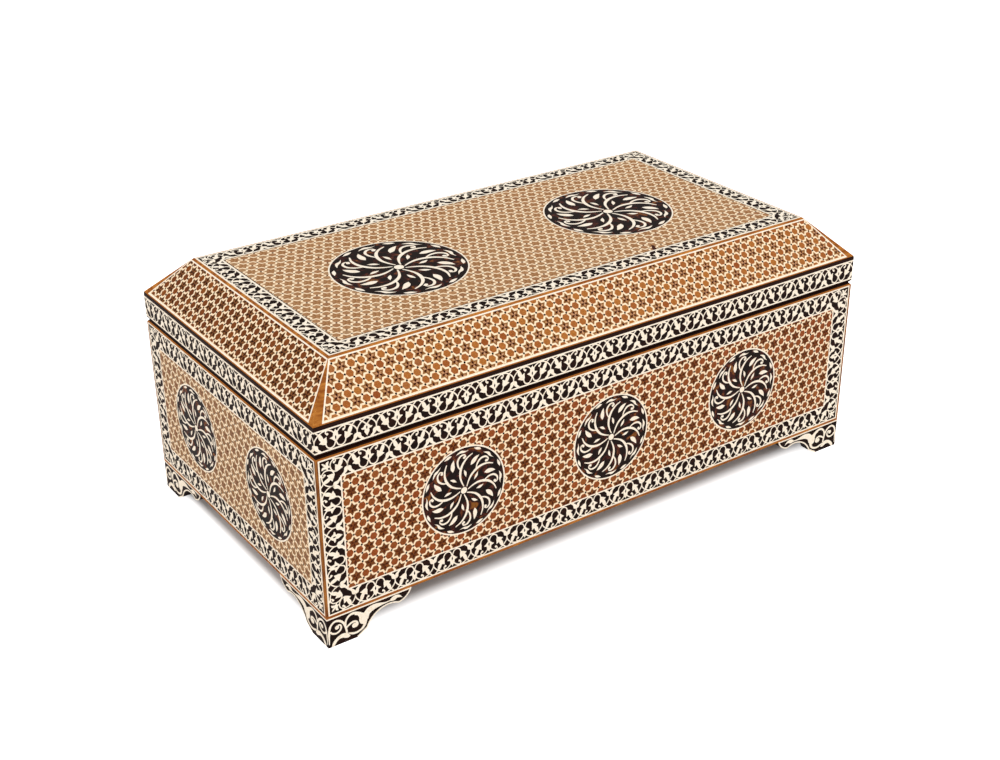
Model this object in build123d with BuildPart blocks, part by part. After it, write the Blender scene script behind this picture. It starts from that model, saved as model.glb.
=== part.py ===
from build123d import *
from math import sqrt, tan, radians
import os

# Dowry chest: a marquetry-veneered wooden box on bracket feet, with a hinged lid
# whose four faces slope up to a flat top.
# Millimetres. +Z is up, X runs along the chest, the front faces -Y, and the origin
# is on the floor under the middle of the chest.

# ---------------------------------------------------------------- driving sizes
# Overall
body_length = 450.0          # outside, along X
body_depth = 246.3           # outside, along Y
foot_height = 22.0           # floor to the underside of the box
carcass_height = 115.45      # underside of the box to the parting plane
skirt_height = 20.75         # parting plane to the eave of the lid
slope_rise = 27.9            # height and inset of the 45 degree lid slopes

# Wood and veneer
wall = 9.0                   # thickness of the four side boards and the lid rails
floor_thickness = 7.0        # bottom board
floor_rebate = 4.5           # depth that the bottom board enters the side boards
lid_board = 6.0              # flat top board of the lid
veneer = 1.6                 # marquetry skins on every outer face

# Parting line
parting_gap = 0.2            # clearance between the two rims when shut
body_rim_height = 1.9        # lipping round the top of the box
lid_rim_height = 2.7         # lipping round the foot of the lid
groove_depth = 1.6           # depth of the V groove between box and lid
groove_height = 1.7          # height of each chamfer of the V groove

# Dovetails
dovetail_count = 3
dovetail_root = 20.0         # width of a tail at its narrow end
dovetail_slope = 1.0 / 6.0

# Marquetry layout
base_strip_height = 1.9      # stringing round the foot of the box
panel_border = 15.4          # width of the scroll border round each star panel
roundel_radius = 32.0        # front, back and ends
front_roundel_pitch = 120.6
end_roundel_pitch = 108.1
top_border = 15.0
top_roundel_radius = 48.0
top_roundel_pitch = 180.7
top_roundel_advance = 2.0    # how far the pair on the lid stands in front of the middle
nosing_height = 2.8          # rounded eave moulding
nosing_round = 2.5
ridge_top_width = 0.85       # ridge stringing, on the flat top
ridge_slope_width = 1.3      # ridge stringing, on the slope
hip_foot_width = 6.0         # hip wedge at the eave, on each of its two faces

# Bracket feet, measured from the corner and down from the underside of the box
foot_board = 8.0             # thickness of a bracket
foot_base = 21.4             # length that stands on the floor
foot_ankle = (28.8, 17.6)    # where the raked end of the base meets the cove
foot_cove_mid = (33.8, 10.7)
foot_cove_top = (45.0, 6.4)
foot_cusp_mid = (49.2, 7.0)
foot_cusp = (52.2, 8.2)
foot_lobe_mid = (58.6, 5.6)
foot_length = 62.4           # whole length of a bracket along the box
glue_block = 14.0            # square block behind each pair of brackets
glue_block_clearance = 3.0   # between the block and the floor

# Hinges
hinge_length = 40.0
hinge_offset = 140.0         # hinge centre from the middle of the chest
leaf_width = 8.2             # from the pin axis to the leaf's inner edge
leaf_thickness = 0.8
knuckle_gap = 0.2            # end play between neighbouring knuckles
knuckle_clearance = 0.2      # round a knuckle in the wood and in the other leaf
pin_radius = 0.8
pin_running_clearance = 0.04
screw_length = 8.0
screw_radius = 0.8
screw_head_radius = 1.5
screw_pitch = 13.0
screw_inset = 2.8            # screw centre from the leaf's inner edge
screw_slot_width = 0.4
screw_slot_depth = 0.3

# ---------------------------------------------------------------- derived places
half_length = body_length / 2
half_depth = body_depth / 2
carcass_half_length = half_length - veneer
carcass_half_depth = half_depth - veneer
inner_inset = veneer + wall

parting_z = foot_height + carcass_height
body_rim_top = parting_z - parting_gap / 2
body_rim_bottom = body_rim_top - body_rim_height
lid_rim_bottom = parting_z + parting_gap / 2
lid_rim_top = lid_rim_bottom + lid_rim_height
eave_z = parting_z + skirt_height
nosing_bottom = eave_z - nosing_height
top_z = eave_z + slope_rise
top_board_top = top_z - veneer
top_board_bottom = top_board_top - lid_board

board_height = body_rim_bottom - foot_height
panel_bottom = foot_height + base_strip_height
hinge_y = half_depth - groove_depth
knuckle_radius = groove_depth
knuckle_length = (hinge_length - 2 * knuckle_gap) / 3
slope_length = slope_rise * sqrt(2)
mitre_inset = veneer * tan(radians(22.5))    # inner corner of a 135 degree bend


class Side:
    """One of the four sides of the rectangular box, seen from outside."""

    def __init__(self, angle, half_run, half_face):
        self.half_run = half_run
        self.half_face = half_face
        self.run = Vector(1, 0, 0).rotate(Axis.Z, angle)
        self.inward = Vector(0, 1, 0).rotate(Axis.Z, angle)

    def section(self):
        """Plane across the side: x is the way inward from the middle, y is up."""
        return Plane(origin=(0, 0, 0), x_dir=self.inward, z_dir=self.run)

    def face(self, inset=0.0):
        """Plane of the side's outer face: x is the run, y is up, z points out."""
        origin = self.inward * (inset - self.half_face)
        return Plane(origin=origin, x_dir=self.run, z_dir=-self.inward)

    def mitres(self):
        """The two upright 45 degree planes at the corners, facing outwards."""
        corner = self.inward * -self.half_face
        return [
            Plane(origin=corner + self.run * (way * self.half_run), z_dir=self.run * way + self.inward)
            for way in (1, -1)
        ]


sides = {
    "front": Side(0, half_length, half_depth),
    "right": Side(90, half_depth, half_length),
    "back": Side(180, half_length, half_depth),
    "left": Side(270, half_depth, half_length),
}


def mitred_rail(side, outline):
    """One mitred rail of a ring; the outline holds (inset, height) points."""
    with BuildPart() as rail:
        with BuildSketch(side.section()):
            with BuildLine():
                Polyline(*[(inset - side.half_face, z) for inset, z in outline], close=True)
            make_face()
        extrude(amount=side.half_run, both=True)
        for mitre in side.mitres():
            split(bisect_by=mitre, keep=Keep.BOTTOM)
    return rail.part


def mitred_frame(plane, half_width, low, high, border, thickness):
    """Four mitred strips round a rectangle in a face plane, as separate solids."""
    inner_low, inner_high, inner_half = low + border, high - border, half_width - border
    strips = [
        [(-half_width, low), (half_width, low), (inner_half, inner_low), (-inner_half, inner_low)],
        [(half_width, low), (half_width, high), (inner_half, inner_high), (inner_half, inner_low)],
        [(half_width, high), (-half_width, high), (-inner_half, inner_high), (inner_half, inner_high)],
        [(-half_width, high), (-half_width, low), (-inner_half, inner_low), (-inner_half, inner_high)],
    ]
    solids = []
    for corners in strips:
        with BuildPart() as strip:
            with BuildSketch(plane):
                with BuildLine():
                    Polyline(*corners, close=True)
                make_face()
            extrude(amount=-thickness)
        solids.append(strip.part)
    return solids


def star_panel(plane, half_width, low, high, roundels, radius):
    """Flat star-marquetry skin with round seats for its roundels."""
    with BuildPart() as panel:
        with BuildSketch(plane):
            with Locations((0, (low + high) / 2)):
                Rectangle(2 * half_width, high - low)
            with Locations(*roundels):
                Circle(radius, mode=Mode.SUBTRACT)
        extrude(amount=-veneer)
    return panel.part


def roundel_discs(plane, roundels, radius):
    """The discs that fill the round seats of a star panel."""
    with BuildPart() as discs:
        with BuildSketch(plane):
            with Locations(*roundels):
                Circle(radius)
        extrude(amount=-veneer)
    return discs.part


def roundel_row(pitch, count, height):
    """Centres of an evenly spaced row of roundels, about the middle."""
    return [((i - (count - 1) / 2) * pitch, height) for i in range(count)]


def save(name, *solids):
    """Label a node and write its STEP file; several solids stay separate."""
    shape = solids[0] if len(solids) == 1 else Compound(children=list(solids))
    shape.label = name
    export_step(shape, f"parts/{name}.step")


os.makedirs("parts", exist_ok=True)

# ---------------------------------------------------------------- hinges
# Two small brass butt hinges at the back. The knuckles lie in the V groove, with the
# pin on the line where the two chamfers meet, so that the chamfers are the lid's stop.


def hinge_leaf(centre_x, way):
    """A leaf let into a rim: way is -1 for the box's leaf and +1 for the lid's."""
    knuckles = (-1, 1) if way < 0 else (0,)
    bore = pin_radius if way < 0 else pin_radius + pin_running_clearance
    plate_depth = leaf_width - knuckle_radius - knuckle_clearance
    plate_y = hinge_y - leaf_width + plate_depth / 2
    leaf_z = parting_z + way * (parting_gap + leaf_thickness) / 2
    screw_y = hinge_y - leaf_width + screw_inset
    with BuildPart() as leaf:
        with Locations((centre_x, plate_y, leaf_z)):
            Box(hinge_length, plate_depth, leaf_thickness)
        for place in knuckles:
            knuckle_x = centre_x + place * (knuckle_length + knuckle_gap)
            with Locations((knuckle_x, hinge_y - leaf_width / 2, leaf_z)):
                Box(knuckle_length, leaf_width, leaf_thickness)
            with Locations((knuckle_x, hinge_y, parting_z)):
                Cylinder(knuckle_radius, knuckle_length, rotation=(0, 90, 0))
        with Locations((centre_x, hinge_y, parting_z)):
            Cylinder(bore, 2 * hinge_length, rotation=(0, 90, 0), mode=Mode.SUBTRACT)
        for place in (-1, 0, 1):
            with Locations((centre_x + place * screw_pitch, screw_y, leaf_z)):
                Cone(
                    screw_head_radius if way < 0 else screw_radius,
                    screw_radius if way < 0 else screw_head_radius,
                    leaf_thickness,
                    rotation=(180, 0, 0),
                    mode=Mode.SUBTRACT,
                )
    return leaf.part


def hinge_screws(centre_x, way):
    """Three countersunk wood screws through a leaf; way is the way that they point."""
    head_z = parting_z + way * parting_gap / 2
    screw_y = hinge_y - leaf_width + screw_inset
    shank = screw_length - leaf_thickness
    with BuildPart() as screws:
        for place in (-1, 0, 1):
            screw_x = centre_x + place * screw_pitch
            with Locations((screw_x, screw_y, head_z + way * leaf_thickness / 2)):
                Cone(
                    screw_head_radius if way < 0 else screw_radius,
                    screw_radius if way < 0 else screw_head_radius,
                    leaf_thickness,
                    rotation=(180, 0, 0),
                )
            with Locations((screw_x, screw_y, head_z + way * (leaf_thickness + shank / 2))):
                Cylinder(screw_radius, shank)
            with Locations((screw_x, screw_y, head_z + way * screw_slot_depth / 2)):
                Box(2 * screw_head_radius, screw_slot_width, screw_slot_depth, mode=Mode.SUBTRACT)
    return screws.part


def hinge_pocket(way):
    """The wood that a rim loses to its leaves and to both sets of knuckles."""
    leaf_z = parting_z + way * (parting_gap + leaf_thickness) / 2
    with BuildPart() as pocket:
        for centre_x in (-hinge_offset, hinge_offset):
            with Locations((centre_x, hinge_y - leaf_width / 2, leaf_z)):
                Box(hinge_length, leaf_width, leaf_thickness)
            with Locations((centre_x, hinge_y, parting_z)):
                Cylinder(
                    knuckle_radius + knuckle_clearance,
                    hinge_length + 2 * knuckle_clearance,
                    rotation=(0, 90, 0),
                )
    return pocket.part


box_screws = [hinge_screws(x, -1) for x in (-hinge_offset, hinge_offset)]
lid_screws = [hinge_screws(x, 1) for x in (-hinge_offset, hinge_offset)]
save("hinge_body_leaves", *[hinge_leaf(x, -1) for x in (-hinge_offset, hinge_offset)])
save("hinge_lid_leaves", *[hinge_leaf(x, 1) for x in (-hinge_offset, hinge_offset)])
save("hinge_body_screws", *box_screws)
save("hinge_lid_screws", *lid_screws)

with BuildPart() as hinge_pins:
    with Locations((-hinge_offset, hinge_y, parting_z), (hinge_offset, hinge_y, parting_z)):
        Cylinder(pin_radius, hinge_length, rotation=(0, 90, 0))
save("hinge_pins", hinge_pins.part)

# ---------------------------------------------------------------- carcass of the box
with BuildPart() as bottom_board:
    with BuildSketch(Plane.XY.offset(foot_height)):
        Rectangle(
            2 * (carcass_half_length - wall + floor_rebate),
            2 * (carcass_half_depth - wall + floor_rebate),
        )
    extrude(amount=floor_thickness)
save("bottom_board", bottom_board.part)


def long_board(side):
    """Front or back board, with dovetail tails at both ends and a rebate for the floor."""
    pitch = board_height / dovetail_count
    shoulder = carcass_half_length - wall
    root, end = dovetail_root / 2, dovetail_root / 2 + wall * dovetail_slope
    with BuildPart() as board:
        with BuildSketch(side.face(veneer)):
            with Locations((0, foot_height + board_height / 2)):
                Rectangle(2 * shoulder, board_height)
            for way in (-1, 1):
                for i in range(dovetail_count):
                    z = foot_height + (i + 0.5) * pitch
                    with BuildLine():
                        Polyline(
                            (way * shoulder, z - root),
                            (way * carcass_half_length, z - end),
                            (way * carcass_half_length, z + end),
                            (way * shoulder, z + root),
                            close=True,
                        )
                    make_face()
        extrude(amount=-wall)
        add(bottom_board.part, mode=Mode.SUBTRACT)
    return board.part


front_board = long_board(sides["front"])
with BuildPart() as back_board:
    add(long_board(sides["back"]))
    add(box_screws, mode=Mode.SUBTRACT)
save("front_board", front_board)
save("back_board", back_board.part)

for end in ("left", "right"):
    with BuildPart() as end_board:
        with BuildSketch(sides[end].face(veneer)):
            with Locations((0, foot_height + board_height / 2)):
                Rectangle(2 * carcass_half_depth, board_height)
        extrude(amount=-wall)
        add([front_board, back_board.part, bottom_board.part], mode=Mode.SUBTRACT)
    save(f"{end}_end_board", end_board.part)

# Lipping round the mouth of the box, chamfered to form the lower half of the groove
body_rim_outline = [
    (0, body_rim_bottom),
    (0, body_rim_top - groove_height),
    (groove_depth, body_rim_top),
    (inner_inset, body_rim_top),
    (inner_inset, body_rim_bottom),
]
with BuildPart() as body_rim_back:
    add(mitred_rail(sides["back"], body_rim_outline))
    add([hinge_pocket(-1), *box_screws], mode=Mode.SUBTRACT)
save(
    "body_rim",
    *[mitred_rail(sides[name], body_rim_outline) for name in ("front", "right", "left")],
    body_rim_back.part,
)

# ---------------------------------------------------------------- skins of the box
strip_outline = [
    (0, foot_height),
    (veneer, foot_height),
    (veneer, panel_bottom),
    (0, panel_bottom),
]
save("base_strips", *[mitred_rail(side, strip_outline) for side in sides.values()])

with BuildPart() as corner_posts:
    with BuildSketch(Plane.XY.offset(panel_bottom)):
        with GridLocations(body_length - veneer, body_depth - veneer, 2, 2):
            Rectangle(veneer, veneer)
    extrude(amount=body_rim_bottom - panel_bottom)
save("corner_posts", corner_posts.part)

roundel_z = (panel_bottom + body_rim_bottom) / 2
body_roundels = {
    "front": roundel_row(front_roundel_pitch, 3, roundel_z),
    "back": roundel_row(front_roundel_pitch, 3, roundel_z),
    "left": roundel_row(end_roundel_pitch, 2, roundel_z),
    "right": roundel_row(end_roundel_pitch, 2, roundel_z),
}
for name, side in sides.items():
    skin_half = side.half_run - veneer
    save(
        f"{name}_border",
        *mitred_frame(side.face(), skin_half, panel_bottom, body_rim_bottom, panel_border, veneer),
    )
    save(
        f"{name}_star_panel",
        star_panel(
            side.face(),
            skin_half - panel_border,
            panel_bottom + panel_border,
            body_rim_bottom - panel_border,
            body_roundels[name],
            roundel_radius,
        ),
    )
    save(f"{name}_roundels", roundel_discs(side.face(), body_roundels[name], roundel_radius))

# ---------------------------------------------------------------- bracket feet


def foot_bracket(side, way):
    """One mitred bracket; way is the end of the side that it stands at, +1 or -1."""

    def place(point):
        """From (distance from the corner, depth under the box) to the face plane."""
        return (way * (side.half_run - point[0]), foot_height - point[1])

    with BuildPart() as bracket:
        with BuildSketch(side.face()):
            with BuildLine():
                Polyline(
                    place((foot_length, 0)),
                    place((0, 0)),
                    place((0, foot_height)),
                    place((foot_base, foot_height)),
                    place(foot_ankle),
                )
                ThreePointArc(place(foot_ankle), place(foot_cove_mid), place(foot_cove_top))
                ThreePointArc(place(foot_cove_top), place(foot_cusp_mid), place(foot_cusp))
                ThreePointArc(place(foot_cusp), place(foot_lobe_mid), place((foot_length, 0)))
            make_face()
        extrude(amount=-foot_board)
        split(bisect_by=side.mitres()[0 if way > 0 else 1], keep=Keep.BOTTOM)
    return bracket.part


# Each corner is named after its two sides, with the end of each side that meets there
corners = {
    "foot_front_left": (("front", -1), ("left", 1)),
    "foot_front_right": (("front", 1), ("right", -1)),
    "foot_back_right": (("back", -1), ("right", 1)),
    "foot_back_left": (("back", 1), ("left", -1)),
}
for name, brackets in corners.items():
    save(name, *[foot_bracket(sides[side_name], way) for side_name, way in brackets])

with BuildPart() as glue_blocks:
    with BuildSketch(Plane.XY.offset(foot_height)):
        with GridLocations(
            body_length - 2 * foot_board - glue_block,
            body_depth - 2 * foot_board - glue_block,
            2,
            2,
        ):
            Rectangle(glue_block, glue_block)
    extrude(amount=glue_block_clearance - foot_height)
save("foot_glue_blocks", glue_blocks.part)

# ---------------------------------------------------------------- lid frame


def on_slope(distance, depth=0.0):
    """(inset, height) at a distance up the slope from the eave, and a depth under it."""
    return ((distance + depth) / sqrt(2), eave_z + (distance - depth) / sqrt(2))


lid_rim_outline = [
    (0, lid_rim_top),
    (0, lid_rim_bottom + groove_height),
    (groove_depth, lid_rim_bottom),
    (inner_inset, lid_rim_bottom),
    (inner_inset, lid_rim_top),
]
with BuildPart() as lid_rim_back:
    add(mitred_rail(sides["back"], lid_rim_outline))
    add([hinge_pocket(1), *lid_screws], mode=Mode.SUBTRACT)
save(
    "lid_rim",
    *[mitred_rail(sides[name], lid_rim_outline) for name in ("front", "right", "left")],
    lid_rim_back.part,
)

rail_outline = [
    (veneer, lid_rim_top),
    (inner_inset, lid_rim_top),
    (inner_inset, eave_z),
    (veneer, eave_z),
]
slope_foot = veneer * sqrt(2)                # inset of the bare slope board at the eave
slope_board_rise = top_board_bottom - eave_z
slope_board_outline = [
    (slope_foot, eave_z),
    (inner_inset, eave_z),
    (inner_inset + slope_board_rise, top_board_bottom),
    (slope_foot + slope_board_rise, top_board_bottom),
]
for name, side in sides.items():
    with BuildPart() as skirt_rail:
        add(mitred_rail(side, rail_outline))
        if name == "back":
            add(lid_screws, mode=Mode.SUBTRACT)
    save(f"lid_rail_{name}", skirt_rail.part)
    save(f"lid_slope_{name}", mitred_rail(side, slope_board_outline))

# Flat top board, with edges bevelled in line with the slopes
with BuildPart() as top_board:
    top_inset = slope_foot + slope_board_rise
    with BuildSketch(Plane.XY.offset(top_board_bottom)):
        Rectangle(2 * (half_length - top_inset), 2 * (half_depth - top_inset))
    extrude(amount=lid_board, taper=45)
save("lid_top_board", top_board.part)

# ---------------------------------------------------------------- skins of the lid
skirt_border_outline = [
    (0, lid_rim_top),
    (veneer, lid_rim_top),
    (veneer, nosing_bottom),
    (0, nosing_bottom),
]
slope_skin_top = slope_length - ridge_slope_width
slope_skin_outline = [
    on_slope(veneer),
    on_slope(slope_skin_top),
    on_slope(slope_skin_top, veneer),
    on_slope(veneer, veneer),
]
ridge_outline = [
    on_slope(slope_skin_top),
    (slope_rise, top_z),
    (slope_rise + ridge_top_width, top_z),
    (slope_rise + ridge_top_width, top_board_top),
    (slope_rise + mitre_inset, top_board_top),
    on_slope(slope_skin_top, veneer),
]


def eave_nosing(side):
    """Eave moulding that covers the rail's top edge, with its outer edge rounded."""
    outline = [
        (0, nosing_bottom),
        (veneer, nosing_bottom),
        (veneer, eave_z),
        on_slope(veneer, veneer),
        on_slope(veneer),
        (0, eave_z),
    ]
    with BuildPart() as nosing:
        with BuildSketch(side.section()) as profile:
            with BuildLine():
                Polyline(*[(inset - side.half_face, z) for inset, z in outline], close=True)
            make_face()
            outer_corner = Vector(-side.half_face, eave_z)
            fillet(profile.vertices().sort_by_distance(outer_corner)[0], radius=nosing_round)
        extrude(amount=side.half_run, both=True)
        for mitre in side.mitres():
            split(bisect_by=mitre, keep=Keep.BOTTOM)
    return nosing.part


def hip_plane(side, way):
    """Plane between a slope's star panel and the hip wedge at one end of it."""
    corner = side.inward * -side.half_face + side.run * (way * side.half_run)
    foot = corner - side.run * (way * hip_foot_width) + Vector(0, 0, eave_z)
    peak = corner + (side.inward - side.run * way) * slope_rise + Vector(0, 0, top_z)
    slope_normal = Vector(0, 0, 1) - side.inward
    normal = slope_normal.cross(peak - foot)
    if normal.dot(side.run * way) < 0:
        normal = -normal
    return Plane(origin=foot, z_dir=normal)


for name, side in sides.items():
    save(f"lid_skirt_border_{name}", mitred_rail(side, skirt_border_outline))
    save(f"lid_eave_{name}", eave_nosing(side))
    with BuildPart() as slope_panel:
        add(mitred_rail(side, slope_skin_outline))
        for way in (1, -1):
            split(bisect_by=hip_plane(side, way), keep=Keep.BOTTOM)
    save(f"lid_slope_panel_{name}", slope_panel.part)


def hip_wedge(meeting):
    """One tapered hip strip, bent over the edge where two slopes meet."""
    halves = []
    for side_name, way in meeting:
        with BuildPart() as half:
            add(mitred_rail(sides[side_name], slope_skin_outline))
            split(bisect_by=hip_plane(sides[side_name], way), keep=Keep.TOP)
        halves.append(half.part)
    with BuildPart() as wedge:
        add(halves)
    return wedge.part


save("lid_hip_strips", *[hip_wedge(meeting) for meeting in corners.values()])
save("lid_ridge_strips", *[mitred_rail(side, ridge_outline) for side in sides.values()])

top_plane = Plane.XY.offset(top_z)
top_half_length = half_length - slope_rise - ridge_top_width
top_half_depth = half_depth - slope_rise - ridge_top_width
top_roundel_centres = roundel_row(top_roundel_pitch, 2, -top_roundel_advance)
save(
    "lid_top_border",
    *mitred_frame(top_plane, top_half_length, -top_half_depth, top_half_depth, top_border, veneer),
)
save(
    "lid_top_star_panel",
    star_panel(
        top_plane,
        top_half_length - top_border,
        top_border - top_half_depth,
        top_half_depth - top_border,
        top_roundel_centres,
        top_roundel_radius,
    ),
)
save("lid_top_roundels", roundel_discs(top_plane, top_roundel_centres, top_roundel_radius))
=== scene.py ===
"""Dresses a dowry chest in marquetry: star panels of bone and wood, bone scrolls in ebony, shell roundels.

Shapes are cut out flat on the bench at one unit to a millimetre, and then laid on the chest in metres.
"""

import logging
import math
import random
from contextlib import contextmanager
from dataclasses import dataclass, field, replace
from enum import Enum
from typing import Iterator, Sequence

import bmesh
import bpy
from mathutils import Matrix, Vector


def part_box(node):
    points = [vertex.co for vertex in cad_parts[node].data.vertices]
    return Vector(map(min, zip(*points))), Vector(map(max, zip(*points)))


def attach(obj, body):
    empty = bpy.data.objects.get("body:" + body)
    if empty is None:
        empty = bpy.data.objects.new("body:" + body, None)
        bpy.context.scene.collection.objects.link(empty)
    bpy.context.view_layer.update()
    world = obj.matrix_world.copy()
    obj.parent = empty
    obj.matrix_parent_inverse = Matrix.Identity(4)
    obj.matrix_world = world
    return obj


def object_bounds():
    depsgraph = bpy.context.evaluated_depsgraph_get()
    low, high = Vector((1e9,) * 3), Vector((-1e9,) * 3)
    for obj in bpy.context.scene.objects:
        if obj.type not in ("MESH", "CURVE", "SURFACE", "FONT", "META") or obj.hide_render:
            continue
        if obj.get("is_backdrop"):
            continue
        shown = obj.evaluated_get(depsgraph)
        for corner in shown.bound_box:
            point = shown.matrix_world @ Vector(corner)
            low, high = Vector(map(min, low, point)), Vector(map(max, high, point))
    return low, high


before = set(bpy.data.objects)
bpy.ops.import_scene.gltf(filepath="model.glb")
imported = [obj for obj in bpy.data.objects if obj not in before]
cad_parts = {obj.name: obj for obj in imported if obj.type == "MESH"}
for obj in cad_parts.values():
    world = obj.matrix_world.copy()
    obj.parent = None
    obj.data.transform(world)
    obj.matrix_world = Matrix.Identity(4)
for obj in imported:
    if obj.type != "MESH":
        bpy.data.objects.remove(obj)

MM = 0.001
# How near counts as the same, in metres on the chest and in millimetres on the bench.
SAME_PLANE, SAME_EDGE = 0.02 * MM, 0.05 * MM
SAME_CUT, SAME_POINT, SAME_AXIS = 1e-5, 1e-4, 1e-3
# A face whose unit normal rises or falls by more than this lies flat.
FLAT = 0.9
ROOT_3 = math.sqrt(3)
DIAGONAL = math.sqrt(0.5)
LOG = logging.getLogger("dowry_chest")

Point = tuple[float, float]
Stops = Sequence[tuple[float, str]]
Piece = bpy.types.Object
Node = bpy.types.Node
Socket = bpy.types.NodeSocket
Material = bpy.types.Material


class Body(Enum):
    """The two bodies that the hinges join."""

    BOX = "box"
    LID = "lid"


class Slot(Enum):
    """The record's material slots for the inlay."""

    STARS = "star_marquetry"
    SCROLLS = "scroll_border"
    SHELL = "tortoiseshell_roundel"
    FOOT = "ebony_foot"


class Facing(Enum):
    """The way an outer face looks, as its level direction and its upward direction."""

    FRONT = ((1, 0, 0), (0, 0, 1))
    BACK = ((-1, 0, 0), (0, 0, 1))
    LEFT = ((0, -1, 0), (0, 0, 1))
    RIGHT = ((0, 1, 0), (0, 0, 1))
    TOP = ((1, 0, 0), (0, 1, 0))
    FRONT_SLOPE = ((1, 0, 0), (0, DIAGONAL, DIAGONAL))
    BACK_SLOPE = ((-1, 0, 0), (0, -DIAGONAL, DIAGONAL))
    LEFT_SLOPE = ((0, -1, 0), (DIAGONAL, 0, DIAGONAL))
    RIGHT_SLOPE = ((0, 1, 0), (-DIAGONAL, 0, DIAGONAL))


SIDES = ("front", "back", "left", "right")
WALLS = dict(zip(SIDES, (Facing.FRONT, Facing.BACK, Facing.LEFT, Facing.RIGHT)))
FEET = [(wall, end) for wall in ("front", "back") for end in ("left", "right")]
SLOPES = dict(zip(SIDES, (Facing.FRONT_SLOPE, Facing.BACK_SLOPE, Facing.LEFT_SLOPE, Facing.RIGHT_SLOPE)))


# ---------------------------------------------------------------- bench work


def take(*pieces: Piece) -> None:
    """Puts everything down and takes up these pieces, the first of them active.

    Args:
        pieces: what to select.
    """
    bpy.ops.object.select_all(action="DESELECT")
    for piece in pieces:
        piece.select_set(True)
    bpy.context.view_layer.objects.active = pieces[0]


@contextmanager
def editing(piece: Piece) -> Iterator[None]:
    """Works on one piece in edit mode, with all of it selected at the start.

    Args:
        piece: the mesh to work on.

    Yields:
        Nothing, while the piece is in edit mode.
    """
    take(piece)
    bpy.ops.object.mode_set(mode="EDIT")
    bpy.ops.mesh.select_all(action="SELECT")
    yield
    bpy.ops.object.mode_set(mode="OBJECT")


def apply_modifier(piece: Piece, kind: str, **settings: object) -> None:
    """Adds a modifier and applies it.

    Args:
        piece: the mesh that it works on.
        kind: the modifier's type.
        settings: its settings by name.
    """
    take(piece)
    modifier = piece.modifiers.new(kind.title(), kind)
    for name, value in settings.items():
        setattr(modifier, name, value)
    bpy.ops.object.modifier_apply(modifier=modifier.name)


def join(pieces: Sequence[Piece], name: str) -> Piece:
    """Makes one piece of several.

    Args:
        pieces: the meshes, at least one.
        name: the joined piece's name.

    Returns:
        The joined piece.
    """
    take(*pieces)
    if len(pieces) > 1:
        bpy.ops.object.join()
    pieces[0].name = name
    pieces[0].data.name = name
    return pieces[0]


def copy_at(piece: Piece, place: Matrix) -> Piece:
    """Copies a piece, mesh and all, to another place on the bench.

    Args:
        piece: what to copy.
        place: the move, which may be a mirror image.

    Returns:
        The copy, with its faces outward.
    """
    take(piece)
    bpy.ops.object.duplicate()
    twin = bpy.context.view_layer.objects.active
    twin.data.transform(place)
    if place.determinant() < 0:
        twin.data.flip_normals()
    return twin


def clad(piece: Piece, material: Material) -> None:
    """Makes all of a piece of one material."""
    piece.data.materials.clear()
    piece.data.materials.append(material)


def discard(piece: Piece) -> None:
    """Throws a pattern piece away, with its mesh.

    Args:
        piece: the piece, which is gone afterwards.
    """
    mesh = piece.data
    bpy.data.objects.remove(piece)
    bpy.data.meshes.remove(mesh)


def clip(piece: Piece, outline: Sequence[Point], fill: bool) -> None:
    """Trims a piece to a convex outline.

    Args:
        piece: the mesh to trim.
        outline: the outline's corners, counterclockwise.
        fill: closes the cut, for a piece that has a thickness.
    """
    for start, end in zip(outline, [*outline[1:], outline[0]]):
        outward = Vector((end[1] - start[1], start[0] - end[0], 0.0)).normalized()
        with editing(piece):
            edge = {"plane_co": (*start, 0.0), "plane_no": outward, "threshold": SAME_CUT}
            bpy.ops.mesh.bisect(**edge, use_fill=fill, clear_outer=True)


def raise_frame(sheet: Piece, line: float, thickness: float) -> None:
    """Cuts the middle out of a flat sheet and gives the frame that is left a thickness.

    Args:
        sheet: the sheet, of one face.
        line: the width that is left along its edges.
        thickness: how far it is raised.
    """
    with editing(sheet):
        bpy.ops.mesh.inset(thickness=line)
        bpy.ops.mesh.delete(type="FACE")
        bpy.ops.mesh.select_all(action="SELECT")
        bpy.ops.mesh.extrude_region_move(TRANSFORM_OT_translate={"value": (0, 0, thickness)})
        bpy.ops.mesh.select_all(action="SELECT")
        bpy.ops.mesh.normals_make_consistent(inside=False)


def smooth_line(points: Sequence[Point], steps: int) -> list[Point]:
    """Points along the smooth line through some points.

    Args:
        points: what the line goes through.
        steps: how many steps it takes from one point to the next.

    Returns:
        The line's points, both ends among them.
    """
    knots = [Vector(p) for p in points]
    ends = [2 * knots[0] - knots[1], *knots, 2 * knots[-1] - knots[-2]]
    line = []
    for a, b, c, d in zip(ends, ends[1:], ends[2:], ends[3:]):
        for step in range(steps):
            t = step / steps
            bend = (2 * a - 5 * b + 4 * c - d) * t * t + (3 * b - a - 3 * c + d) * t**3
            line.append(tuple(b + 0.5 * ((c - a) * t + bend)))
    return [*line, tuple(knots[-1])]


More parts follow.
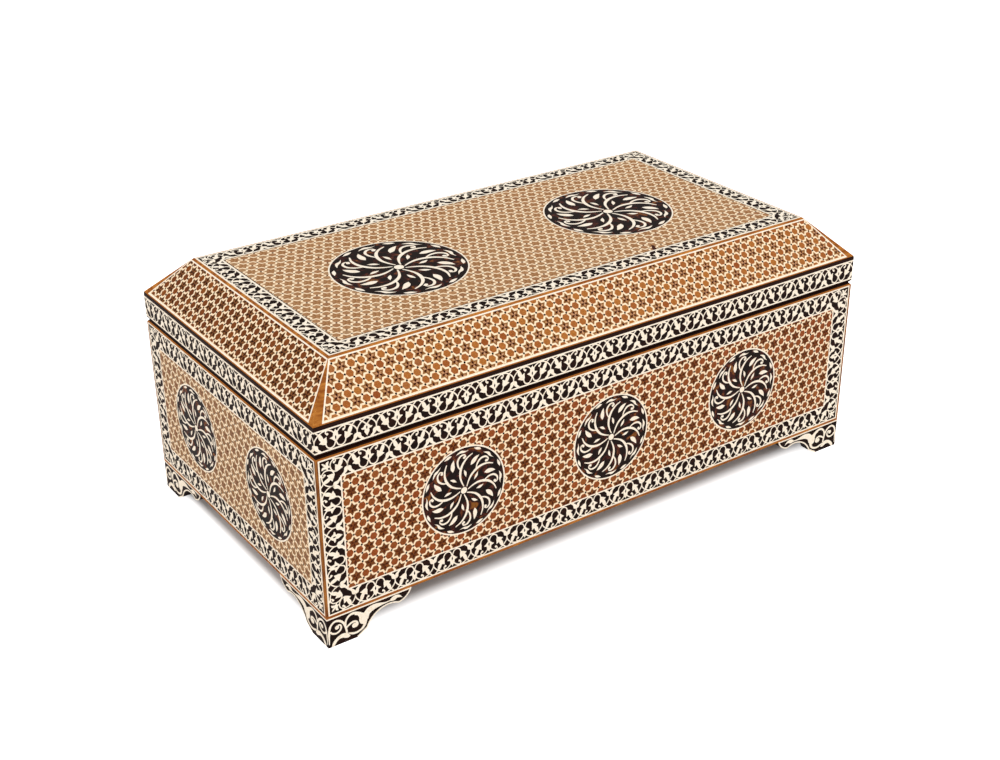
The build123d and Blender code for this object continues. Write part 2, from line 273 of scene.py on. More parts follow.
def arc_through(start: Point, middle: Point, end: Point, steps: int) -> list[Point]:
    """Points along the arc through three points.

    Args:
        start: where it begins.
        middle: a point on it.
        end: where it ends.
        steps: how many chords it takes.

    Returns:
        The arc's points, both ends among them.
    """
    (ax, ay), (bx, by), (cx, cy) = start, middle, end
    twice = 2 * (ax * (by - cy) + bx * (cy - ay) + cx * (ay - by))
    a2, b2, c2 = ax * ax + ay * ay, bx * bx + by * by, cx * cx + cy * cy
    x = (a2 * (by - cy) + b2 * (cy - ay) + c2 * (ay - by)) / twice
    y = (a2 * (cx - bx) + b2 * (ax - cx) + c2 * (bx - ax)) / twice
    radius = math.hypot(ax - x, ay - y)
    first = math.atan2(ay - y, ax - x)
    sweep = math.atan2(cy - y, cx - x) - first
    if twice > 0 and sweep < 0:
        sweep += math.tau
    if twice < 0 and sweep > 0:
        sweep -= math.tau
    angles = [first + sweep * step / steps for step in range(steps + 1)]
    return [(x + radius * math.cos(angle), y + radius * math.sin(angle)) for angle in angles]


def mirrored(half: Sequence[Point]) -> tuple[Point, ...]:
    """A whole outline from its half, which begins and ends on the upright axis."""
    return (*half, *((-u, v) for u, v in reversed(half[1:-1])))


# ---------------------------------------------------------------- fretwork


@dataclass(frozen=True)
class Leaf:
    """A closed outline in millimetres, rounded except at its corners."""

    points: tuple[Point, ...]
    corners: tuple[int, ...] = ()
    hole: tuple[Point, ...] = ()
    hole_corners: tuple[int, ...] = ()


@dataclass(frozen=True)
class Stem:
    """A line of varying width in millimetres, through some points."""

    points: tuple[Point, ...]
    widths: tuple[float, ...]
    straight: bool = False
    steps: int = 5

    def outline(self) -> tuple[Point, ...]:
        """Works out the stem's outline.

        Returns:
            Its points, up one side and down the other.
        """
        line = [Vector(p) for p in (self.points if self.straight else smooth_line(self.points, self.steps))]
        spread = [*self.widths, self.widths[-1]]
        last = len(line) - 1
        left, right = [], []
        for index, here in enumerate(line):
            way = (line[min(index + 1, last)] - line[max(index - 1, 0)]).normalized()
            side = Vector((-way.y, way.x))
            share = index / last * (len(self.widths) - 1)
            low = int(share)
            width = spread[low] + (spread[low + 1] - spread[low]) * (share - low)
            left.append(tuple(here + side * width / 2))
            right.append(tuple(here - side * width / 2))
        return (*left, *reversed(right))


@dataclass(frozen=True)
class Berry:
    """A round blob in millimetres."""

    centre: Point
    radius: float


@dataclass(frozen=True)
class FretSaw:
    """Saws flat shapes out of a sheet and fuses them to one fret."""

    thickness: float = 0.4
    round_steps: int = 4
    berry_edges: int = 14

    def _curve(self, name: str) -> bpy.types.Curve:
        """Makes an empty flat curve, as thick as the sheet.

        Args:
            name: the curve's name.

        Returns:
            The curve.
        """
        curve = bpy.data.curves.new(name, "CURVE")
        curve.dimensions = "2D"
        curve.fill_mode = "BOTH"
        curve.extrude = self.thickness / 2
        curve.resolution_u = self.round_steps
        return curve

    def _bezier(self, curve: bpy.types.Curve, points: Sequence[Point], corners: Sequence[int]) -> None:
        """Adds a closed rounded outline to a curve.

        Args:
            curve: what to add it to.
            points: what the outline goes through.
            corners: which of its points are sharp.
        """
        spline = curve.splines.new("BEZIER")
        spline.bezier_points.add(len(points) - 1)
        spline.use_cyclic_u = True
        for index, (knot, (u, v)) in enumerate(zip(spline.bezier_points, points)):
            handle = "VECTOR" if index in corners else "AUTO"
            knot.co = (u, v, 0)
            knot.handle_left_type = handle
            knot.handle_right_type = handle

    def _blank(self, shape: Leaf | Stem | Berry) -> Piece:
        """One shape as a closed flat mesh.

        Args:
            shape: what to saw out.

        Returns:
            The mesh, with its middle at zero height.
        """
        if isinstance(shape, Berry):
            size = {"radius": shape.radius, "depth": self.thickness, "location": (*shape.centre, 0)}
            bpy.ops.mesh.primitive_cylinder_add(vertices=self.berry_edges, **size)
            bpy.ops.object.transform_apply(location=True)
            return bpy.context.view_layer.objects.active
        curve = self._curve("blank")
        if isinstance(shape, Leaf):
            self._bezier(curve, shape.points, shape.corners)
            if shape.hole:
                self._bezier(curve, shape.hole, shape.hole_corners)
        else:
            spline = curve.splines.new("POLY")
            outline = shape.outline()
            spline.points.add(len(outline) - 1)
            spline.use_cyclic_u = True
            for knot, (u, v) in zip(spline.points, outline):
                knot.co = (u, v, 0, 1)
        blank = bpy.data.objects.new("blank", curve)
        bpy.context.scene.collection.objects.link(blank)
        take(blank)
        bpy.ops.object.convert(target="MESH")
        with editing(blank):
            bpy.ops.mesh.remove_doubles(threshold=SAME_POINT)
            bpy.ops.mesh.normals_make_consistent(inside=False)
        return blank

    def fuse(self, piece: Piece) -> None:
        """Makes one closed body of the overlapping shapes in a piece.

        Args:
            piece: the shapes, joined.
        """
        with editing(piece):
            bpy.ops.mesh.intersect_boolean(operation="UNION", use_self=True, solver="EXACT")
            bpy.ops.mesh.select_all(action="SELECT")
            bpy.ops.mesh.dissolve_limited(angle_limit=math.radians(1))

    def cut(self, shapes: Sequence[Leaf | Stem | Berry], name: str) -> Piece:
        """Saws some shapes out and fuses them.

        Args:
            shapes: what to saw out.
            name: the fret's name.

        Returns:
            The fret, its middle at zero height.
        """
        fret = join([self._blank(shape) for shape in shapes], name)
        self.fuse(fret)
        return fret


@dataclass(frozen=True)
class Face:
    """The outer face of a CAD node, with axes of its own in millimetres from its middle."""

    place: Matrix
    low_left: Point
    low_right: Point
    high_right: Point
    high_left: Point

    @classmethod
    def of(cls, node: str, facing: Facing) -> "Face":
        """Finds the outer face of a node.

        Args:
            node: the CAD node's name.
            facing: the way that its outer face looks.

        Returns:
            The face, with the corners of its outline.
        """
        along, up = (Vector(way) for way in facing.value)
        out = along.cross(up)
        turn = Matrix((along, up, out)).transposed()
        seen = [turn.inverted() @ v.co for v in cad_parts[node].data.vertices]
        height = max(p.z for p in seen)
        outer = [p for p in seen if height - p.z < SAME_PLANE]
        low, high = min(p.y for p in outer), max(p.y for p in outer)
        foot = [p.x for p in outer if p.y - low < SAME_EDGE]
        head = [p.x for p in outer if high - p.y < SAME_EDGE]
        reach = [p.x for p in outer]
        middle = Vector(((min(reach) + max(reach)) / 2, (low + high) / 2, height))
        half = (high - low) / 2 / MM
        return cls(
            Matrix.Translation(turn @ middle) @ turn.to_4x4() @ Matrix.Scale(MM, 4),
            ((min(foot) - middle.x) / MM, -half),
            ((max(foot) - middle.x) / MM, -half),
            ((max(head) - middle.x) / MM, half),
            ((min(head) - middle.x) / MM, half),
        )

    @property
    def outline(self) -> tuple[Point, Point, Point, Point]:
        """The corners, counterclockwise from the lower left."""
        return self.low_left, self.low_right, self.high_right, self.high_left

    @property
    def width(self) -> float:
        """The length of the lower edge."""
        return self.low_right[0] - self.low_left[0]

    @property
    def height(self) -> float:
        """The height of the face."""
        return self.high_left[1] - self.low_left[1]

    def lay(self, piece: Piece, lift: float) -> None:
        """Lays a flat piece on the face at its real size.

        Args:
            piece: the piece, whose mesh is moved from the bench to the chest.
            lift: how far it stands off the face, in millimetres.
        """
        piece.data.transform(self.place @ Matrix.Translation((0, 0, lift)))


def fit_piece(piece: Piece, body: Body) -> Piece:
    """Makes a finished piece ride on its body.

    Args:
        piece: the finished piece.
        body: the body that it moves with.

    Returns:
        The piece.
    """
    if body is Body.BOX:
        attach(piece, "box")
    else:
        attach(piece, "lid")
    LOG.info("%s: %d faces on the %s", piece.name, len(piece.data.polygons), body.value)
    return piece


# ---------------------------------------------------------------- finishes


def linear(hex_colour: str) -> tuple[float, float, float, float]:
    """Turns an sRGB hex colour to linear red, green, blue and alpha."""
    parts = [int(hex_colour[i : i + 2], 16) / 255 for i in (1, 3, 5)]
    return (*(p / 12.92 if p <= 0.04045 else ((p + 0.055) / 1.055) ** 2.4 for p in parts), 1.0)


def set_inputs(node: Node, inputs: dict) -> None:
    """Sets or links some inputs of a node.

    Args:
        node: the node.
        inputs: values, or sockets to link from, by input name or number.
    """
    for name, value in inputs.items():
        if isinstance(value, Socket):
            node.id_data.links.new(value, node.inputs[name])
        else:
            node.inputs[name].default_value = value


def add_node(
    owner: Material | bpy.types.World,
    kind: str,
    inputs: dict | None = None,
    stops: Stops = (),
    **settings: object,
) -> Node:
    """Adds a node with its settings, values and links.

    Args:
        owner: the material or world whose tree it joins.
        kind: the shader node's type.
        inputs: values, or sockets to link from, by input name or number.
        stops: for a colour ramp, the position and sRGB hex colour of each stop.
        settings: the node's own settings by name.

    Returns:
        The new node.
    """
    node = owner.node_tree.nodes.new("ShaderNode" + kind)
    for name, value in settings.items():
        setattr(node, name, value)
    set_inputs(node, inputs or {})
    if stops:
        elements = node.color_ramp.elements
        while len(elements) < len(stops):
            elements.new(0.5)
        for element, (position, colour) in zip(elements, stops):
            element.position = position
            element.color = linear(colour)
    return node


# The sockets of a colour mix, which share their names with those of its plain and vector mixes.
MIX_FACTOR, MIX_A, MIX_B, MIX_RESULT = 0, 6, 7, 2


def new_material(name: str) -> tuple[Material, Node, Socket]:
    """Starts a material.

    Args:
        name: its name.

    Returns:
        The material, its shader, and the place on the piece, which its patterns read.
    """
    material = bpy.data.materials.new(name)
    material.use_nodes = True
    place = add_node(material, "TexCoord").outputs["Object"]
    return material, material.node_tree.nodes["Principled BSDF"], place


def mottle(
    material: Material,
    place: Socket,
    size: float,
    spread: Sequence[float],
    tones: Sequence[str],
    **cloud: float,
) -> Socket:
    """Paints a cloudy pattern.

    Args:
        material: what it is painted on.
        place: the place on the piece.
        size: the size of a cloud, in millimetres.
        spread: where in the clouds each of its tones lies, from nothing to one.
        tones: its tones, as sRGB hex colours.
        cloud: the noise's other inputs by name.

    Returns:
        The socket of its colour.
    """
    noise = add_node(material, "TexNoise", {"Vector": place, "Scale": 1 / (size * MM), **cloud})
    stops = list(zip(spread, tones))
    return add_node(material, "ValToRGB", {"Fac": noise.outputs["Fac"]}, stops).outputs["Color"]


@dataclass(frozen=True)
class Lacquer:
    """Rubbed shellac over everything: a clear coat that gives soft, slightly hazy reflections."""

    weight: float = 0.085
    roughness: float = 0.14
    ior: float = 1.5
    gloss_below: float = 0.0

    def brush_on(self, shader: Node) -> None:
        """Coats a shader, and dulls what lies below, since lacquer and wood meet with hardly a reflection.

        Args:
            shader: the shader of what is lacquered.
        """
        coat = {"Coat Weight": self.weight, "Coat Roughness": self.roughness, "Coat IOR": self.ior}
        set_inputs(shader, {"Specular IOR Level": self.gloss_below, **coat})


@dataclass(frozen=True)
class Wood:
    """Planed hardwood: fibres stretched along the grain, and darker growth lines across it.

    Real pores are finer than the fibre given, in millimetres, which is as fine as still shows. A spread
    says where in a pattern its dark and its light tone lie, from nothing to one.
    """

    name: str
    pale: str
    deep: str
    line: str
    grain: tuple[float, float, float]
    fibre: float = 0.35
    band_scale: float = 0.18
    relief: float = 0.05
    roughness: float = 0.45
    ior: float = 1.5
    lacquer: Lacquer | None = Lacquer()
    fibre_spread: tuple[float, float] = (0.3, 0.68)
    band_spread: tuple[float, float] = (0.4, 0.66)
    bump: float = 0.25

    def material(self) -> Material:
        """Makes the material.

        Returns:
            A wood whose grain runs along the axis with the smallest share in grain.
        """
        material, shader, place = new_material(self.name)
        along = add_node(material, "Mapping", {"Vector": place, "Scale": self.grain}).outputs[0]
        fibre = self.fibre * MM
        fibres = {"Vector": along, "Scale": 1 / fibre, "Detail": 4.0, "Roughness": 0.65}
        bands = {"Vector": along, "Scale": self.band_scale / fibre, "Detail": 2.0, "Distortion": 0.6}
        height, band = (add_node(material, "TexNoise", noise).outputs["Fac"] for noise in (fibres, bands))
        tones = list(zip(self.fibre_spread, (self.deep, self.pale)))
        growth = list(zip(self.band_spread, ("#000000", "#FFFFFF")))
        wood = add_node(material, "ValToRGB", {"Fac": height}, tones).outputs["Color"]
        lines = add_node(material, "ValToRGB", {"Fac": band}, growth).outputs["Color"]
        colours = {MIX_FACTOR: lines, MIX_A: linear(self.line), MIX_B: wood}
        mixed = add_node(material, "Mix", colours, data_type="RGBA")
        grooves = {"Height": height, "Strength": self.bump, "Distance": self.relief * MM}
        normal = add_node(material, "Bump", grooves).outputs["Normal"]
        set_inputs(shader, {"Base Color": mixed.outputs[MIX_RESULT], "Normal": normal})
        set_inputs(shader, {"Roughness": self.roughness, "IOR": self.ior})
        if self.lacquer:
            self.lacquer.brush_on(shader)
        return material


@dataclass(frozen=True)
class TileWood:
    """Sawn end-grain rods, sliced into tiles: each tile has its own tone, with fine flecks.

    The flecks, in millimetres, stand for pores that are too fine to show.
    """

    name: str
    tones: tuple[str, ...]
    fleck: float = 0.5
    fleck_spread: tuple[float, float] = (0.3, 0.7)
    fleck_shade: str = "#A9A4A0"
    roughness: float = 0.4
    ior: float = 1.5
    lacquer: Lacquer = Lacquer()

    def material(self) -> Material:
        """Makes the material.

        Returns:
            A wood that reads each tile's own tint.
        """
        material, shader, place = new_material(self.name)
        tint = add_node(material, "Attribute", attribute_name="tint").outputs["Fac"]
        last = len(self.tones) - 1
        stops = [(index / last, colour) for index, colour in enumerate(self.tones)]
        tone = add_node(material, "ValToRGB", {"Fac": tint}, stops).outputs["Color"]
        specks = (self.fleck_shade, "#FFFFFF")
        shade = mottle(material, place, self.fleck, self.fleck_spread, specks, Detail=2.0, Roughness=0.6)
        colours = {MIX_FACTOR: 1.0, MIX_A: tone, MIX_B: shade}
        mixed = add_node(material, "Mix", colours, data_type="RGBA", blend_type="MULTIPLY")
        surface = {"Base Color": mixed.outputs[MIX_RESULT], "Roughness": self.roughness, "IOR": self.ior}
        set_inputs(shader, surface)
        self.lacquer.brush_on(shader)
        return material


@dataclass(frozen=True)
class Bone:
    """Polished camel bone: warm cream, with faint darker streaks and pores."""

    name: str = "polished_bone"
    pale: str = "#FFF4E2"
    deep: str = "#F1DFC3"
    streak: float = 1.6
    spread: tuple[float, float] = (0.32, 0.55)
    roughness: float = 0.35
    ior: float = 1.54
    lacquer: Lacquer = Lacquer()

    def material(self) -> Material:
        """Makes the material.

        Returns:
            The bone, lacquered.
        """
        material, shader, place = new_material(self.name)
        streaks = {"Detail": 3.0, "Roughness": 0.7}
        colour = mottle(material, place, self.streak, self.spread, (self.deep, self.pale), **streaks)
        set_inputs(shader, {"Base Color": colour, "Roughness": self.roughness, "IOR": self.ior})
        self.lacquer.brush_on(shader)
        return material


@dataclass(frozen=True)
class Tortoiseshell:
    """Dark hawksbill shell: nearly black, with reddish and amber clouds under a high polish."""

    name: str = "dark_tortoiseshell"
    ground: str = "#170B07"
    red: str = "#4A1E16"
    amber: str = "#84501C"
    cloud: float = 7.0
    spread: tuple[float, ...] = (0.0, 0.52, 0.61, 0.7)
    roughness: float = 0.2
    ior: float = 1.55
    lacquer: Lacquer = Lacquer(weight=0.11, roughness=0.08)

    def material(self) -> Material:
        """Makes the material.

        Returns:
            The shell, polished.
        """
        material, shader, place = new_material(self.name)
        tones = (self.ground, self.ground, self.red, self.amber)
        clouds = {"Detail": 3.0, "Roughness": 0.6, "Distortion": 0.8}
        colour = mottle(material, place, self.cloud, self.spread, tones, **clouds)
        set_inputs(shader, {"Base Color": colour, "Roughness": self.roughness, "IOR": self.ior})
        self.lacquer.brush_on(shader)
        return material


@dataclass(frozen=True)
class Brass:
    """Cast and filed brass, dulled by handling: soft, uneven highlights."""

    name: str = "aged_brass"
    bright: str = "#C8A25A"
    dull: str = "#8A6A34"
    smudge: float = 3.0
    spread: tuple[float, float] = (0.35, 0.62)
    roughness: float = 0.38

    def material(self) -> Material:
        """Makes the material.

        Returns:
            The brass, bare.
        """
        material, shader, place = new_material(self.name)
        colour = mottle(material, place, self.smudge, self.spread, (self.dull, self.bright), Detail=4.0)
        set_inputs(shader, {"Base Color": colour, "Metallic": 1.0, "Roughness": self.roughness})
        return material


@dataclass(frozen=True)
class SplitStrip:
    """Two lacquered tones split at a straight line: two woods on the eaves, plum under painted shade on the
    body rim.
    """

    name: str
    below: tuple[str, str]
    above: tuple[str, str]
    seam: float
    fibre: float = 0.4
    spread: tuple[float, float] = (0.38, 0.68)
    roughness: float = 0.38
    lacquer: Lacquer = Lacquer()

    def material(self) -> Material:
        """Makes the material.

        Returns:
            One that changes tone at the height of the seam, in millimetres; on the body rim, to painted
            shade.
        """
        material, shader, place = new_material(self.name)
        low, high = (
            mottle(material, place, self.fibre, self.spread, (deep, pale), Detail=3.0)
            for pale, deep in (self.below, self.above)
        )
        height = add_node(material, "SeparateXYZ", {"Vector": place}).outputs["Z"]
        over = add_node(material, "Math", {0: height, 1: self.seam * MM}, operation="GREATER_THAN")
        colours = {MIX_FACTOR: over.outputs[0], MIX_A: low, MIX_B: high}
        mixed = add_node(material, "Mix", colours, data_type="RGBA")
        set_inputs(shader, {"Base Color": mixed.outputs[MIX_RESULT], "Roughness": self.roughness})
        self.lacquer.brush_on(shader)
        return material


AMBER_BONE = Bone("amber_toned_bone", "#FFE8C6", "#F0CEA4")
EBONY = Wood("lacquered_ebony", "#2C140C", "#1C0A05", "#140603", (0.2, 1.0, 1.0), fibre=0.5, roughness=0.4)
PLUM = Wood("plum_wood_stringing", "#D08A3E", "#A8662A", "#8E4E1C", (0.15, 0.6, 1.0), fibre=0.45)
PLUM_UPRIGHT = Wood("plum_wood_upright", "#B87838", "#8A5424", "#6E3C18", (1.0, 1.0, 0.12), fibre=0.45)
EBONY_TONES = ("#2C140C", "#1C0A05")
PLUM_TONES = ("#C07A32", "#945420")
CROWNED_MOULDING = SplitStrip("ebony_moulding_with_plum_crown", EBONY_TONES, PLUM_TONES, 158.3)
# The body rim is plum; above the seam its chamfer is painted in ebony tones, as painted shade in the groove
# under the lid.
PLUM_RIM_PAINTED_GROOVE_SHADE = SplitStrip("plum_rim_painted_groove_shade", PLUM_TONES, EBONY_TONES, 136.4)
BARE = {"fibre": 0.6, "roughness": 0.55, "lacquer": None}
WALNUT = Wood("oiled_walnut", "#7E5636", "#5A3820", "#442816", (0.035, 1.0, 1.0), **BARE)
WALNUT_CROSS = replace(WALNUT, name="oiled_walnut_crosswise", grain=(1.0, 0.035, 1.0))


# ---------------------------------------------------------------- star marquetry


@dataclass(frozen=True)
class Palette:
    """The woods of one panel's tiles."""

    dark_rod: TileWood
    light_rod: TileWood
    tip: TileWood
    hexagon: TileWood
    spot: TileWood

    def materials(self) -> list[Material]:
        """The five materials, in the order of the tiles' slots."""
        woods = (self.dark_rod, self.light_rod, self.tip, self.hexagon, self.spot)
        return [wood.material() for wood in woods]


class Tile(Enum):
    """The kinds of tile in the star pattern, by material slot."""

    DARK = 0
    LIGHT = 1
    TIP = 2
    HEXAGON = 3
    SPOT = 4


@dataclass(frozen=True)
class StarPattern:
    """Six-pointed stars of six rhombs and six tips, with hexagons between, and a spot where two tips meet.

    Both pitches are in millimetres, and the tiles' sizes are shares of the rows' pitch.
    """

    row: float
    column: float
    dark_ray: int = 0
    rhomb: float = 0.136
    star: float = 0.224
    hexagon: float = 0.229
    spot: float = 0.066

    def _tile(self, kind: Tile, corners: Sequence[Point], centre: Point, turn: float) -> Piece:
        """Makes one flat tile.

        Args:
            kind: its kind.
            corners: its outline as shares of the rows' pitch, before the turn.
            centre: where its own middle lies, in millimetres.
            turn: its turn in degrees.

        Returns:
            The tile, facing up.
        """
        bpy.ops.mesh.primitive_circle_add(vertices=len(corners), radius=1, fill_type="NGON")
        tile = bpy.context.view_layer.objects.active
        place = Matrix.Translation((*centre, 0)) @ Matrix.Rotation(math.radians(turn), 4, "Z")
        for vertex, (u, v) in zip(tile.data.vertices, corners):
            vertex.co = place @ Vector((u * self.row, v * self.row, 0))
        if tile.data.polygons[0].normal.z < 0:
            tile.data.flip_normals()
        tile.data.polygons[0].material_index = kind.value
        return tile

    def _star(self, centre: Point) -> list[Piece]:
        """Lays the twelve tiles of one star: rhombs round its middle, and the tips of its rays beyond them.

        Args:
            centre: the star's middle, in millimetres.

        Returns:
            The tiles.
        """
        near_u, near_v = self.rhomb * ROOT_3 / 2, self.rhomb / 2
        far_u, far_v = self.star * ROOT_3 / 2, self.star / 2
        notch, point = (self.rhomb * ROOT_3, 0.0), (self.star * ROOT_3, 0.0)
        rhomb = ((0.0, 0.0), (near_u, -near_v), notch, (near_u, near_v))
        tip = ((near_u, -near_v), (far_u, -far_v), point, (far_u, far_v), (near_u, near_v), notch)
        tiles = []
        for ray in range(6):
            turn = 30 + 60 * ray
            kind = Tile.DARK if (ray + self.dark_ray) % 2 == 0 else Tile.LIGHT
            tiles += [self._tile(kind, rhomb, centre, turn), self._tile(Tile.TIP, tip, centre, turn)]
        return tiles

    def cell(self, woods: Sequence[Material]) -> Piece:
        """Two stars with their hexagons and spots, which repeat over the panel.

        Args:
            woods: the materials of the five kinds of tile.

        Returns:
            The flat cell, with its first star at the middle of the bench.
        """
        column = self.row * ROOT_3 / 2
        angles = [math.radians(60 * side) for side in range(6)]
        six = [(math.cos(angle), math.sin(angle)) for angle in angles]
        hexagon = [(u * self.hexagon, v * self.hexagon) for u, v in six]
        spot = [(u * self.spot, v * self.spot) for u, v in six]
        tiles = []
        for u, v in ((0.0, 0.0), (column, self.row / 2)):
            tiles += self._star((u, v))
            for du, dv in ((column * 2 / 3, 0.0), (column / 3, self.row / 2)):
                tiles.append(self._tile(Tile.HEXAGON, hexagon, (u + du, v + dv), 0))
            for du, dv in ((0.0, self.row / 2), (column / 2, self.row / 4), (column / 2, -self.row / 4)):
                tiles.append(self._tile(Tile.SPOT, spot, (u + du, v + dv), 0))
        for tile in tiles:
            kind = tile.data.polygons[0].material_index
            for wood in woods:
                tile.data.materials.append(wood)
            tile.data.polygons[0].material_index = kind
        cell = join(tiles, "star_cell")
        cell.data.transform(Matrix.Diagonal((self.column / column, 1, 1, 1)))
        return cell


@dataclass(frozen=True)
class Drift:
    """How far the hand-laid rows wander from an even pitch, in millimetres, as a cubic over the panel."""

    along: tuple[float, ...]
    across: tuple[float, ...]

    def at(self, x: float, y: float) -> Vector:
        """Works out the drift at a place.

        Args:
            x: the place along the panel, as a share of its half width.
            y: the place up the panel, as a share of its half height.

        Returns:
            The drift, as a move in the panel's plane.
        """
        terms = (1.0, x, x * x, x**3, y, x * y, x * x * y)
        u, v = (sum(a * b for a, b in zip(weights, terms)) for weights in (self.along, self.across))
        return Vector((u, v, 0.0))


@dataclass(frozen=True)
class StarField:
    """One panel of star marquetry: a bone ground with wood tiles let in."""

    node: str
    facing: Facing
    body: Body
    palette: Palette
    pattern: StarPattern
    first_star: Point
    drift: Drift
    seats: int = 0
    seat_node: str = ""
    margin: float = 0.0
    depth: float = 0.4
    lift: float = 0.03
    star_tint: float = 0.4
    drift_reach: float = 1.1
    seed: int = 1

    def _window(self, face: Face) -> list[Point]:
        """Finds the outline that the tiles fill.

        Args:
            face: the panel's face.

        Returns:
            The corners of the face's outline, moved in by the margin.
        """
        outline = [Vector(p) for p in face.outline]
        window = []
        for index, here in enumerate(outline):
            back = (here - outline[index - 1]).normalized()
            onward = (outline[(index + 1) % 4] - here).normalized()
            inward_back = Vector((-back.y, back.x))
            inward_on = Vector((-onward.y, onward.x))
            reach = self.margin / (1 + inward_back.dot(inward_on))
            window.append(tuple(here + (inward_back + inward_on) * reach))
        return window

    def _spread(self, cell: Piece, face: Face) -> Piece:
        """Repeats the cell over the whole face, with the first star in its place.

        Args:
            cell: the flat cell, which becomes the tiles.
            face: the panel's face.

        Returns:
            The tiles.
        """
        # A spare cell before the face's edge and two past it keep the drift from baring the ground.
        wide, high = 2 * self.pattern.column, self.pattern.row
        first_u, first_v = self.first_star
        back = math.ceil((first_u + face.width / 2) / wide) + 1
        down = math.ceil((first_v + face.height / 2) / high) + 1
        cell.data.transform(Matrix.Translation((first_u - back * wide, first_v - down * high, 0)))
        across, upward = math.ceil(face.width / wide) + 3, math.ceil(face.height / high) + 3
        for count, step in ((across, (wide, 0, 0)), (upward, (0, high, 0))):
            pitch = {"use_constant_offset": True, "constant_offset_displace": step}
            apply_modifier(cell, "ARRAY", count=count, use_relative_offset=False, **pitch)
        return cell

    def _wander(self, tiles: Piece, face: Face) -> None:
        """Moves every tile by the drift of the rows where it lies.

        Args:
            tiles: the evenly laid tiles.
            face: the panel's face.
        """
        reach = self.drift_reach
        for vertex in tiles.data.vertices:
            x, y = 2 * vertex.co.x / face.width, 2 * vertex.co.y / face.height
            vertex.co += self.drift.at(min(max(x, -reach), reach), min(max(y, -reach), reach))

    def _clear_seats(self, tiles: Piece, seats: "SeatRow") -> None:
        """Cuts the tiles away where the roundels sit, each crossing tile along the rim's tangent.

        Args:
            tiles: the flat tiles.
            seats: where the roundels sit.
        """
        work = bmesh.new()
        work.from_mesh(tiles.data)
        for centre in seats.centres():
            middle = Vector((*centre, 0))
            gone = []
            for tile in list(work.faces):
                reaches = [(v.co - middle).length for v in tile.verts]
                if max(reaches) <= seats.radius:
                    gone.append(tile)
                elif min(reaches) < seats.radius:
                    way = (tile.calc_center_median() - middle).normalized()
                    around = [tile, *tile.edges, *tile.verts]
                    rim = middle + way * seats.radius
                    bmesh.ops.bisect_plane(work, geom=around, plane_co=rim, plane_no=way, clear_inner=True)
            bmesh.ops.delete(work, geom=gone, context="FACES")
        work.to_mesh(tiles.data)
        work.free()

    def _tint(self, tiles: Piece, face: Face) -> None:
        """Gives each tile a tint of its own, around the tint of its star.

        Args:
            tiles: the flat tiles.
            face: the panel's face.
        """
        draw = random.Random(self.seed)
        star_tints: dict[tuple[int, int], float] = {}
        tint = tiles.data.attributes.new("tint", "FLOAT", "FACE")
        values = []
        for tile in tiles.data.polygons:
            here = tile.center
            place = here - self.drift.at(2 * here.x / face.width, 2 * here.y / face.height)
            column = round((place.x - self.first_star[0]) / self.pattern.column)
            row = round((place.y - self.first_star[1]) / self.pattern.row - 0.5 * (column % 2))
            star = star_tints.setdefault((column, row), draw.random())
            values.append(self.star_tint * star + (1 - self.star_tint) * draw.random())
        tint.data.foreach_set("value", values)

    def build(self) -> Piece:
        """Makes the tiles and lays them on the panel.

        Returns:
            The tiles, as one piece.
        """
        face = Face.of(self.node, self.facing)
        tiles = self._spread(self.pattern.cell(self.palette.materials()), face)
        self._wander(tiles, face)
        clip(tiles, self._window(face), fill=False)
        if self.seats:
            self._clear_seats(tiles, SeatRow.of(self.seat_node, self.facing, self.seats, face))
        self._tint(tiles, face)
        apply_modifier(tiles, "SOLIDIFY", thickness=self.depth, offset=-1.0)
        tiles.name = self.node.replace("_panel", "") + "_tiles"
        tiles.data.name = tiles.name
        face.lay(tiles, self.lift)
        return fit_piece(tiles, self.body)


@dataclass(frozen=True)
class SeatRow:
    """A row of round seats or roundels along the middle of a face, in millimetres."""

    count: int
    pitch: float
    radius: float
    middle: Point

    @classmethod
    def of(cls, node: str, facing: Facing, count: int, face: Face) -> "SeatRow":
        """Reads a row of roundels from its CAD node.

        Args:
            node: the roundels' node.
            facing: the way that they look.
            count: how many there are.
            face: the face from whose middle they are measured.

        Returns:
            The row.
        """
        low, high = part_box(node)
        span = high - low
        along, up = (Vector(way) for way in facing.value)
        length = abs(span.dot(along)) / MM
        radius = abs(span.dot(up)) / MM / 2
        middle = face.place.inverted() @ ((low + high) / 2)
        return cls(count, (length - 2 * radius) / (count - 1), radius, (middle.x, middle.y))

    def centres(self) -> list[Point]:
        """Places the roundels.

        Returns:
            Their middles, from the middle of the face.
        """
        u, v = self.middle
        return [(u + (index - (self.count - 1) / 2) * self.pitch, v) for index in range(self.count)]


# ---------------------------------------------------------------- scroll borders


LILY = Leaf(
    (
        (6.1, 4.4), (6.0, 5.4), (6.15, 6.8), (6.05, 8.1), (7.1, 7.6), (8.1, 7.15), (8.7, 8.6), (9.7, 10.1),
        (11.1, 11.1), (11.5, 9.6), (11.3, 8.0), (10.7, 6.9), (9.9, 6.05), (10.6, 5.5), (11.4, 4.85),
        (10.2, 4.5), (9.0, 3.9), (7.8, 3.55), (6.9, 3.3),
    ),
    corners=(3, 5, 8, 12, 14),
)
CURL = Stem(((4.4, 11.9), (5.9, 11.7), (6.6, 10.9), (6.4, 10.0), (5.6, 9.5)), (0.9, 0.8, 0.8, 0.8, 0.9))
CURL_BERRY = Berry((5.5, 9.55), 0.78)
SPRIG = Stem(((11.0, 10.6), (12.2, 11.2), (13.5, 12.4)), (0.8, 0.8, 0.8))


